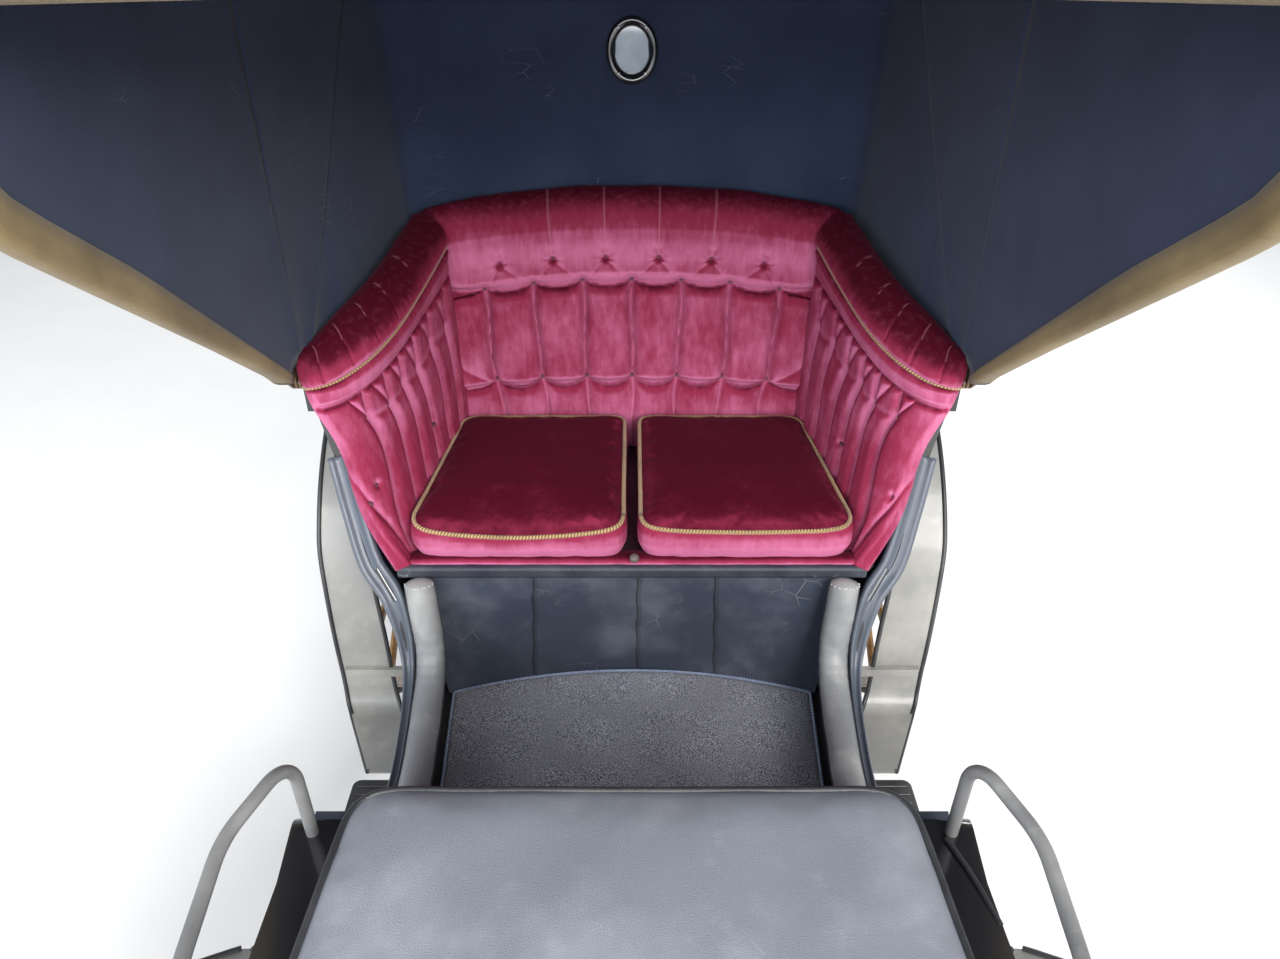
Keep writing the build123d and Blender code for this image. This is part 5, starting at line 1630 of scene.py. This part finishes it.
def apron_drop(flat):
    """How far the hood's front edge hangs below the front bow: much at the sides, little on top."""
    return np.maximum(flat[:, 1] * sin(radians(APRON_ANGLE)) * step_up(flat[:, 1], 1.12, 0.82), 0.010)


def with_apron(grid, grown):
    """The same sheet with a few rows more in front of the front bow."""
    flat = arch("front", grown)
    drop = apron_drop(flat)
    more = [in_space(flat, ARCHES["front"][0], -drop * share) for share in (1.0, 0.75, 0.50, 0.25)]
    return np.vstack([np.array(more), grid])


def down_to_rim(grid, below):
    """The same sheet with a few rows more, down to the wooden rim of the body."""
    last = grid[-1]
    foot = last.copy()
    foot[:, 2] = np.minimum(last[:, 2], np.interp(last[:, 1], *zip(*BODY_RIM))) - below
    more = [last + (foot - last) * share for share in (0.35, 0.70, 1.0)]
    return np.vstack([grid, np.array(more)])


print("hood pivots at", tuple(round(v, 3) for v in PIVOT))

# %% Hood leather and lining
SPANS = (
    # name, forward arch, rear arch, the body that each of the two rides on, rows of points between them
    ("front", "front", "mid", "hood_front", "hood_mid", 26),
    ("mid", "mid", "rear", "hood_mid", "hood_rear", 26),
    ("back", "rear", "rim", "hood_rear", BODY, 90),
)
LEATHER_OUT, LEATHER_THICK = 0.0034, 0.0024
# how far the leather sinks half way between two bows, and the lining, which rises there
LEATHER_SLACK, LINING_SLACK = 0.008, -0.004
# the back lining ends on an arch inside the rim, and lies a little further back from this height up
RIM_GROWN, RIM_ANGLE = -0.020, 160.5
LINING_BACK, BACK_FROM = 0.010, 1.42
# how far leather and lining reach below the wooden rim of the body
LEATHER_FOOT, LINING_FOOT = 0.052, 0.020
WINDOW_CENTRE = (0.0, 0.734, 1.750)
WINDOW_HOLE = (0.056, 0.0645)


def cut_window(grid):
    """Faces of a sheet without those inside the oval window."""
    rows, columns, _ = grid.shape
    faces = []
    flat = grid.reshape(-1, 3)
    for face in grid_faces(rows, columns):
        centre = flat[list(face)].mean(axis=0)
        inside = (centre[0] / WINDOW_HOLE[0]) ** 2 + ((centre[2] - WINDOW_CENTRE[2]) / WINDOW_HOLE[1]) ** 2
        if inside > 1 or centre[1] < 0.6:
            faces.append(face)
    return faces


def round_window(grid):
    """Moves the points beside the window onto its oval edge."""
    x, z = grid[..., 0] / WINDOW_HOLE[0], (grid[..., 2] - WINDOW_CENTRE[2]) / WINDOW_HOLE[1]
    reach = np.sqrt(x**2 + z**2)
    near = (reach > 0.80) & (reach < 1.30) & (grid[..., 1] > 0.6)
    pull = np.where(near, 1 / np.maximum(reach, 1e-6), 1.0)
    grid[..., 0] *= pull
    grid[..., 2] = WINDOW_CENTRE[2] + (grid[..., 2] - WINDOW_CENTRE[2]) * pull
    return grid


def sheet_size(grid):
    """The flat size of a sheet: its greatest width and length, and its area."""
    across = np.linalg.norm(np.diff(grid, axis=1), axis=2).sum(axis=1)
    along = np.linalg.norm(np.diff(grid, axis=0), axis=2).sum(axis=0)
    d1, d2 = grid[1:, :-1] - grid[:-1, :-1], grid[:-1, 1:] - grid[:-1, :-1]
    area = float(np.linalg.norm(np.cross(d1, d2), axis=2).sum())
    width, length = float(across.max()), float(along.max())
    return (round(width, 3), round(length, 3)), round(area, 3)


def hood_sheet(name, grid, material, replaces=(), out=True):
    """One stretch of leather or lining."""
    rows, columns, _ = grid.shape
    faces = cut_window(grid) if name.endswith("back") else grid_faces(rows, columns)
    if out:
        faces = [face[::-1] for face in faces]
    sheet = make_mesh(name, grid.reshape(-1, 3), faces, material)
    thicken(sheet, LEATHER_THICK)
    if replaces:
        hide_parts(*replaces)
    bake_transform(sheet)
    size, area = sheet_size(grid)
    return size


def back_sheets(first, last, rows):
    """Leather and lining of the back: straight, fitted to the window and ending on the body's rim."""
    outer = loft(first, last, LEATHER_OUT, rows)
    inner = loft(first, last, -LINING_IN, rows, 0.0, RIM_GROWN, (ARCHES[first][0], RIM_ANGLE))
    fade = np.clip(np.linspace(0, 1, rows)[:, None] / 0.25, 0, 1)
    inner[..., 1] += fade * LINING_BACK * np.clip((inner[..., 2] - BACK_FROM) / 0.1, 0, 1)
    outer, inner = round_window(outer), round_window(inner)
    return down_to_rim(outer, LEATHER_FOOT), down_to_rim(inner, LINING_FOOT)


def hood():
    for name, first, last, body_a, body_b, rows in SPANS:
        if name == "back":
            outer, inner = back_sheets(first, last, rows)
        else:
            outer = loft(first, last, LEATHER_OUT, rows, LEATHER_SLACK)
            inner = loft(first, last, -LINING_IN, rows, LINING_SLACK)
        if name == "front":
            outer, inner = with_apron(outer, LEATHER_OUT), with_apron(inner, -LINING_IN)
        skin = ("hood_skin_" + name,)
        size = hood_sheet("hood_leather_" + name, outer, HOOD_LEATHER, skin)
        size_in = hood_sheet("hood_lining_" + name, inner, LINING_CLOTH, out=False)
        print("hood", name, "leather", size, "lining", size_in)


hood()

# %% [markdown]
# ## The hood's front band
# The front bow is wrapped in ochre cloth, which covers the edges of the leather and of the lining. It is one
# strip that starts 38 mm inside, goes round the front of the bow and ends on the leather outside. Near the
# pivots it narrows with the bow's reach.

# %% Front band
BAND_WIDTH = 0.038
BAND_THICK = 0.0016
BAND_SECTION = (
    # share of the band's width behind the bow, distance in front of the bow's plane, growth of the arch
    (1.0, 0.0, -0.0296), (0.5, 0.0, -0.0302), (0.0, 0.0, -0.0302), (0.0, 0.0100, -0.0290),
    (0.0, 0.0118, -0.0150), (0.0, 0.0118, -0.0020), (0.0, 0.0095, 0.0068), (0.3, 0.0, 0.0070),
)


def front_band():
    rows = []
    for share, ahead, grown in BAND_SECTION:
        flat = arch("front", grown)
        width = BAND_WIDTH * np.clip(flat[:, 1] / 0.60, 0.12, 1)
        rows.append(in_space(flat, ARCHES["front"][0], share * width - ahead - apron_drop(flat)))
    grid = np.array(rows)
    size, area = sheet_size(grid)
    band = grid_mesh("hood_front_band", grid, BAND_CLOTH, (0, 0.5, -1))
    thicken(band, BAND_THICK)
    hang(band, "hood_front")
    return size


print("front band", front_band())

# %% [markdown]
# ## The rear window
# A small oval pane is held by a polished black ring with four screws. The ring is one domed section turned
# round the oval, so its highlight runs all the way round.

# %% Window ring
RING_INNER, RING_OUTER = np.array((0.0400, 0.0500)), np.array((0.0610, 0.0735))
RING_SECTION = (
    # share of the way from the inner oval to the outer one, distance behind the front of the bezel
    (1.0, 0.004), (0.97, -0.003), (0.80, -0.007), (0.55, -0.008), (0.30, -0.006), (0.08, -0.002),
    (0.0, 0.004),
)
RING_SIDES = 64
RING_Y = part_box("window_bezel")[0][1] - SEAT_FRONT
SCREW_ANGLES = (0.9, 2.24, 4.04, 5.38)
SCREW_OUT, SCREW_RADIUS, SCREW_HEIGHT = 0.008, 0.0034, 0.0016
print("front of the window's bezel at", round(RING_Y, 4), "behind the seat's front edge")


def window_ring():
    """The domed ring and its four screws, which swing with the rear bow."""
    turns = np.linspace(0, 2 * pi, RING_SIDES, endpoint=False)
    oval = np.stack([np.cos(turns), np.sin(turns)], axis=1)
    rows = []
    for share, behind in RING_SECTION:
        flat = oval * (RING_INNER + (RING_OUTER - RING_INNER) * share)
        depth = np.full(RING_SIDES, RING_Y + behind)
        rows.append(np.stack([flat[:, 0], depth, WINDOW_CENTRE[2] + flat[:, 1]], axis=1))
    faces = grid_faces(len(rows), RING_SIDES, round_rows=True, round_columns=True)
    ring = make_mesh("window_ring", np.array(rows).reshape(-1, 3), faces, RIDGE, closed=True)
    hang(ring, "hood_rear")
    wide, tall = (RING_INNER + RING_OUTER) / 2
    spots = [(cos(a) * wide, RING_Y - SCREW_OUT, WINDOW_CENTRE[2] + sin(a) * tall) for a in SCREW_ANGLES]
    heads("window_screws", spots, [(0, -1, 0)] * len(spots), SCREW_RADIUS, SCREW_HEIGHT, NICKEL, "hood_rear")


window_ring()

# %% [markdown]
# ## Welts along the edges
# Leather wings are bound with a welt, and coach panels end in a half-round bead. The frame already has those
# edges, so they are read from its meshes: every edge between two faces that pass a test, joined into lines.
# One cord tree then lays a bead on each line.

# %% Edges of the frame
SHORTEST_BEAD = 0.06
# the front edge of the seat, from which places are measured
ORIGIN = Vector((0, SEAT_FRONT, 0))


def edge_lines(node, first, second):
    """Lines of edges between a face that passes one test and a face that passes another.

    A test gets the face's normal and the place of the edge.
    """
    obj = frame["nodes"][node]
    work = bmesh.new()
    work.from_mesh(obj.data)
    work.transform(obj.matrix_world)
    bmesh.ops.remove_doubles(work, verts=work.verts, dist=1e-5)
    links = {}
    for edge in work.edges:
        if len(edge.link_faces) != 2:
            continue
        spot = sum((v.co for v in edge.verts), Vector()) / 2 - ORIGIN
        one, other = (face.normal for face in edge.link_faces)
        if (first(one, spot) and second(other, spot)) or (first(other, spot) and second(one, spot)):
            a, b = (v.index for v in edge.verts)
            links.setdefault(a, []).append(b)
            links.setdefault(b, []).append(a)
    work.verts.ensure_lookup_table()
    places = {i: work.verts[i].co - ORIGIN for i in links}
    work.free()
    lines, used = [], set()
    for start in sorted(links, key=lambda i: len(links[i]) == 2):
        for following in links[start]:
            line, here, there = [start], start, following
            while (min(here, there), max(here, there)) not in used:
                used.add((min(here, there), max(here, there)))
                line.append(there)
                onward = [i for i in links[there] if i != here]
                if len(onward) != 1:
                    break
                here, there = there, onward[0]
            points = np.array([places[i] for i in line])
            if len(points) > 1 and np.linalg.norm(np.diff(points, axis=0), axis=1).sum() > SHORTEST_BEAD:
                lines.append(even(points, 0.012))
    return lines


def beads(name, node, first, second, radius, finish):
    """A bead on every such line of one node. Returns how many lines there are."""
    lines = edge_lines(node, first, second)
    if lines:
        cord(name, lines, radius, finish, BODY, 8)
    return len(lines)


def wing_welt(name, node, first, second, radius):
    return beads(name, node, first, second, radius, WELT)


def rim_bead(part, node):
    return beads("rim_bead_" + part, node, outwards, upwards, 0.0065, RIDGE)


def away_from(wheel):
    """A test: the face is flat across the carriage and points away from a wheel's axle."""
    hub = middle(wheel)
    y, z = hub.y - SEAT_FRONT, hub.z
    return lambda n, p: abs(n.x) < 0.15 and n.y * (p.y - y) + n.z * (p.z - z) > 0


def on_end(n, p):
    return abs(n.x) > 0.3


def outwards(n, p):
    return n.x * p.x + n.y * (p.y - 0.3) > 0.2 * abs(p.x) and abs(n.z) < 0.6


def upwards(n, p):
    return n.z > 0.55


over_rear, over_front = away_from("wheel_rear_left"), away_from("wheel_front_left")
found = {}
for side, _ in SIDES:
    found["fender " + side] = wing_welt("rear_fender_welt_" + side, "rear_fender_" + side, over_rear, on_end,
                                        0.0055)
    found["rim " + side] = rim_bead(side, "tub_side_" + side)
found["front fenders"] = wing_welt("front_fender_welt", "front_fenders", over_front, on_end, 0.0050)
found["back rim"] = rim_bead("back", "tub_back")
found["dash"] = wing_welt("dash_welt", "dashboard", lambda n, p: n.y > 0.5, lambda n, p: n.y < 0.3, 0.0060)
print("beads laid on", found)

# %% [markdown]
# ## Wheels, steps and footboard
# Hubs end in a turned cap behind a polished band, and one bolt holds each joint of spoke and felloe. The
# steps and the footboard get raised ribs so that a wet boot doesn't slip. A short strap lies by the driver's
# left rail.

# %% Small hardware
SPOKES = {"rear": 14, "front": 12}
# how far behind the face of the hub each brass band lies, and its radius
HUB_BANDS = ((0.006, 0.040), (0.060, 0.056))
CAP_BACK, CAP_RADIUS, CAP_HEIGHT = 0.002, 0.036, 0.020
# bolts: out from the wheel's middle plane, in from its rim, then radius and height
BOLT_OUT, BOLT_IN, BOLT_RADIUS, BOLT_HEIGHT = 0.0185, 0.024, 0.006, 0.004
STEP_X, STEP_Y, STEP_TOP = (0.522, 0.630), (-0.312, -0.198), 0.3305
# the footboard's face: y and z at its lower edge, how far it runs up from there, and half its width
BOARD_FOOT, BOARD_RUN, BOARD_HALF = (-1.560, 0.792), (-0.210, 0.138), 0.31
STRAP = ((0.386, -0.866, 1.064), (0.402, -0.915, 1.063), (0.416, -0.975, 1.060))


def wheel_trim(wheel):
    """Brass on the hub and a bolt at the end of each spoke, on the body of their own wheel."""
    end, side = wheel.split("_")
    body = end + "_wheel_" + side
    low, high = (Vector(corner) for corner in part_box("wheel_" + wheel))
    centre = (low + high) / 2
    out = 1 if centre.x > 0 else -1
    face = high.x if out > 0 else low.x
    y, z = centre.y - SEAT_FRONT, centre.z
    rim = (high.z - low.z) / 2
    turns = np.linspace(0, 2 * pi, 40, endpoint=False)
    rings = [[(face - out * back, y + cos(t) * r, z + sin(t) * r) for t in turns] for back, r in HUB_BANDS]
    cord("hub_bands_" + wheel, rings, 0.0030, BRASS, body, 6, True)
    cap = (face - out * CAP_BACK, y, z)
    heads("hub_cap_" + wheel, [cap], [(out, 0, 0)], CAP_RADIUS, CAP_HEIGHT, BRASS, body, 24)
    count, reach, x = SPOKES[end], rim - BOLT_IN, centre.x + out * BOLT_OUT
    angles = [2 * pi * (k + 0.5) / count for k in range(count)]
    spots = [(x, y + cos(a) * reach, z + sin(a) * reach) for a in angles]
    heads("felloe_bolts_" + wheel, spots, [(out, 0, 0)] * count, BOLT_RADIUS, BOLT_HEIGHT, NICKEL, body,
          8)


for wheel in WHEELS:
    wheel_trim(wheel)
ribs = [[(side * x, y, STEP_TOP) for x in np.linspace(*STEP_X, 8)] for side in (-1, 1)
        for y in np.linspace(*STEP_Y, 6)]
cord("step_treads", ribs, 0.0022, IRON, BODY, 6)
battens = []
for share in np.linspace(0.12, 0.92, 5):
    y, z = (foot + run * share for foot, run in zip(BOARD_FOOT, BOARD_RUN))
    battens.append([(x, y + 0.001, z + 0.004) for x in np.linspace(-BOARD_HALF, BOARD_HALF, 12)])
cord("footboard_battens", battens, 0.0060, BOARD_WOOD, BODY, 8)
cord("rein_strap", [smooth_line(STRAP, 24)], 0.0040, WELT, BODY, 6)

# %% [markdown]
# ## Camera, light and floor
# The picture is taken from the driver's seat, looking back and down at the passengers' seat. Soft boxes in
# front light the inside of the hood and one behind lights its back, and the floor and world stay pale.

# %% Camera
EYE = (0.0, -1.565, 2.030)
PITCH_DOWN = 32.41
FOCAL_PIXELS = 902.0
IMAGE_WIDTH = 1280.0
SENSOR = 36.0
VANISHING_X = 632.0

camera_data = bpy.data.cameras.new("camera")
camera_data.sensor_width = SENSOR
camera_data.lens = FOCAL_PIXELS / IMAGE_WIDTH * SENSOR
camera_data.shift_x = (IMAGE_WIDTH / 2 - VANISHING_X) / IMAGE_WIDTH
camera_data.clip_start = 0.01
camera = link(bpy.data.objects.new("camera", camera_data))
camera.location = to_row([EYE])[0]
camera.rotation_euler = (radians(90 - PITCH_DOWN), 0, 0)
bpy.context.scene.camera = camera
print("camera at", tuple(round(v, 3) for v in camera.location), "lens", round(camera_data.lens, 2), "mm")

# %% Light and floor
def soft_box(name, spot, target, size, power, tint=(1.0, 1.0, 1.0)):
    """A square area lamp that points at a target."""
    lamp = bpy.data.lights.new(name, "AREA")
    lamp.size = size
    lamp.energy = power
    lamp.color = tint
    obj = link(bpy.data.objects.new(name, lamp))
    obj.location = to_row([spot])[0]
    aim = Vector(to_row([target])[0]) - obj.location
    obj.rotation_euler = aim.to_track_quat("-Z", "Y").to_euler()


soft_box("key", (2.4, -5.2, 4.4), (0, 0.2, 1.1), 3.2, 560.0, (1.0, 0.975, 0.94))
soft_box("fill", (-3.8, -4.0, 3.2), (0, 0.2, 1.1), 3.4, 260.0, (0.93, 0.96, 1.0))
soft_box("back", (1.5, 5.5, 4.2), (0, 0.5, 1.0), 3.0, 260.0)
soft_box("front", (0.0, -4.6, 2.5), (0, 0.6, 1.6), 2.6, 150.0)

world = bpy.data.worlds.new("studio")
world.use_nodes = True
world.node_tree.nodes.clear()
sky = Wire(world.node_tree)
seen = sky.node("ShaderNodeLightPath", out="Is Camera Ray")
backdrop = mix(sky, seen, (0.60, 0.62, 0.65), (0.92, 0.92, 0.92))
shade = sky.node("ShaderNodeBackground", {}, {"Color": backdrop, "Strength": 1.0})
sky.node("ShaderNodeOutputWorld", {}, {"Surface": shade}, None)
bpy.context.scene.world = world

floor_material, floor_root = open_material("studio_floor")
speck = noise(floor_root, 3.0, 3.0)
floor_grey = mix(floor_root, speck, (0.70, 0.70, 0.70), (0.76, 0.76, 0.75))
close_material(floor_material, floor_root, {"Base Color": floor_grey, "Roughness": 0.85})
FLOOR_HALF = 14.0
FLOOR_CORNERS = [(x * FLOOR_HALF, y * FLOOR_HALF, 0) for x, y in ((-1, -1), (1, -1), (1, 1), (-1, 1))]
floor = make_mesh("studio_floor", FLOOR_CORNERS, [(0, 1, 2, 3)], floor_material)
bpy.context.scene.view_settings.view_transform = "Standard"
print("studio lit")
